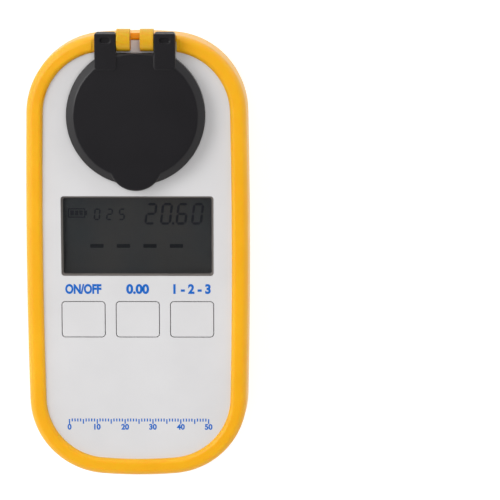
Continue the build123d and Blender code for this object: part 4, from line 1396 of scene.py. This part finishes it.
@dataclass
class Studio:
    """A white table, a bright surround that is dim overhead and to the front, and two soft lamps."""

    floor_size: float = 4.0
    floor_drop: float = 0.0003
    floor_grey: str = "bcbcbc"
    floor_glow: float = 0.68
    horizon_left: float = 1.25
    horizon_right: float = 0.8
    zenith: float = 0.10
    zenith_rise: Point = (0.35, 0.95)
    front_share: float = 0.78
    front_reach: Point = (-0.8, 0.1)
    lamp_place: Place = (-0.57, 0.3, 0.8)
    lamp_size: float = 0.6
    lamp_watts: float = 3.8
    front_place: Place = (0.14, 0.12, 1.3)
    front_size: float = 0.5
    front_watts: float = 6.5

    def floor(self) -> None:
        """Lays the table, white to the camera with the meter's shadow, and clear from below."""
        half = self.floor_size / 2
        work = bmesh.new()
        corners = ((-half, -half), (half, -half), (half, half), (-half, half))
        work.faces.new([work.verts.new((x, y, -self.floor_drop)) for x, y in corners])
        table = linked("table", work)
        # Smooth white board: it takes the meter's shadow, and its own light keeps it white.
        material, tree = new_material("white_table")
        diffuse = add_node(tree, "ShaderNodeBsdfDiffuse", {"Color": linear(self.floor_grey)})
        glow = add_node(tree, "ShaderNodeEmission", {"Color": linear("ffffff"), "Strength": self.floor_glow})
        lit = add_node(tree, "ShaderNodeAddShader", {0: diffuse.outputs[0], 1: glow.outputs[0]})
        clear = add_node(tree, "ShaderNodeBsdfTransparent")
        side = add_node(tree, "ShaderNodeNewGeometry")
        sides = {0: side.outputs["Backfacing"], 1: lit.outputs[0], 2: clear.outputs[0]}
        surface = add_node(tree, "ShaderNodeMixShader", sides)
        add_node(tree, "ShaderNodeOutputMaterial", {"Surface": surface.outputs[0]})
        table.data.materials.append(material)
        table.visible_diffuse = False
        table.visible_shadow = False

    def surround(self) -> None:
        """Sets the world: white to the camera, and to the meter brightest at the left, dim overhead."""
        world = bpy.data.worlds.new("studio")
        bpy.context.scene.world = world
        world.use_nodes = True
        tree = world.node_tree
        tree.nodes.clear()
        way = add_node(tree, "ShaderNodeTexCoord")
        parts = add_node(tree, "ShaderNodeSeparateXYZ", {"Vector": way.outputs["Generated"]})
        side = add_node(
            tree,
            "ShaderNodeMapRange",
            {
                "Value": parts.outputs["X"],
                "From Min": -1.0,
                "From Max": 1.0,
                "To Min": self.horizon_left,
                "To Max": self.horizon_right,
            },
        )
        front = add_node(
            tree,
            "ShaderNodeMapRange",
            {
                "Value": parts.outputs["Y"],
                "From Min": self.front_reach[0],
                "From Max": self.front_reach[1],
                "To Min": self.front_share,
            },
        )
        shares = {0: side.outputs["Result"], 1: front.outputs["Result"]}
        horizon = add_node(tree, "ShaderNodeMath", shares, operation="MULTIPLY")
        level = add_node(
            tree,
            "ShaderNodeMapRange",
            {
                "Value": parts.outputs["Z"],
                "From Min": self.zenith_rise[0],
                "From Max": self.zenith_rise[1],
                "To Min": horizon.outputs[0],
                "To Max": self.zenith,
            },
            interpolation_type="SMOOTHSTEP",
        )
        white, strength = linear("ffffff"), level.outputs["Result"]
        studio = add_node(tree, "ShaderNodeBackground", {"Color": white, "Strength": strength})
        backdrop = add_node(tree, "ShaderNodeBackground", {"Color": white, "Strength": 1.0})
        ray = add_node(tree, "ShaderNodeLightPath").outputs["Is Camera Ray"]
        seen = add_node(tree, "ShaderNodeMixShader", {0: ray, 1: studio.outputs[0], 2: backdrop.outputs[0]})
        add_node(tree, "ShaderNodeOutputWorld", {"Surface": seen.outputs[0]})

    def lamp(self, name: str, place: Place, size: float, watts: float, gloss: bool) -> None:
        """Hangs one soft lamp that points at the meter.

        Args:
            name: the lamp's name.
            place: where it hangs, in metres.
            size: its side in metres.
            watts: its power.
            gloss: whether it shows in gloss and through glass.
        """
        light = bpy.data.lights.new(name, "AREA")
        light.size = size
        light.energy = watts
        lamp = bpy.data.objects.new(name, light)
        lamp.location = place
        lamp.rotation_euler = (-Vector(place)).to_track_quat("-Z", "Y").to_euler()
        lamp.visible_glossy = gloss
        lamp.visible_transmission = gloss
        bpy.context.scene.collection.objects.link(lamp)

    def build(self) -> None:
        """Sets the table, the surround and the lamps."""
        self.floor()
        self.surround()
        self.lamp("side_lamp", self.lamp_place, self.lamp_size, self.lamp_watts, True)
        self.lamp("front_lamp", self.front_place, self.front_size, self.front_watts, False)
        bpy.context.scene.view_settings.view_transform = "Standard"


@dataclass
class PhotoCamera:
    """The camera that sees the meter as the photograph does, a little above its upper right."""

    eye_mm: Place = (34.92, 88.956, 619.2)
    tilt_deg: Place = (8.2567, -0.518, 0.0269)
    focal_px: float = 2319.45
    picture_px: float = 500.0
    sensor_mm: float = 36.0
    far_m: float = 20.0

    def build(self) -> None:
        """Places the camera over the case's own middle."""
        low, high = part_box("rear_shell")
        case_middle = (low + high) / 2
        turns = [Matrix.Rotation(math.radians(angle), 3, axis) for angle, axis in zip(self.tilt_deg, "XYZ")]
        view = turns[0] @ turns[1] @ turns[2]
        camera_data = bpy.data.cameras.new("photo_camera")
        camera_data.sensor_width = self.sensor_mm
        camera_data.lens = self.focal_px * self.sensor_mm / self.picture_px
        camera_data.clip_end = self.far_m
        camera = bpy.data.objects.new("photo_camera", camera_data)
        place = Vector(self.eye_mm) * MM + Vector((case_middle.x, case_middle.y, 0))
        camera.matrix_world = Matrix.Translation(place) @ view.transposed().to_4x4()
        bpy.context.scene.collection.objects.link(camera)
        bpy.context.scene.camera = camera


def main() -> None:
    """Builds the meter's looks, then the studio round it."""
    logging.basicConfig(level=logging.INFO, format="%(name)s: %(message)s")
    bars = BarRow()
    CaseShells().build()
    HingedLid().build()
    SampleWell().build()
    Display().build(bars)
    Keypad().build()
    FaceScale().build(bars)
    PowerBay().build()
    Electronics().build()
    Studio().build()
    PhotoCamera().build()


if __name__ == "__main__":
    main()
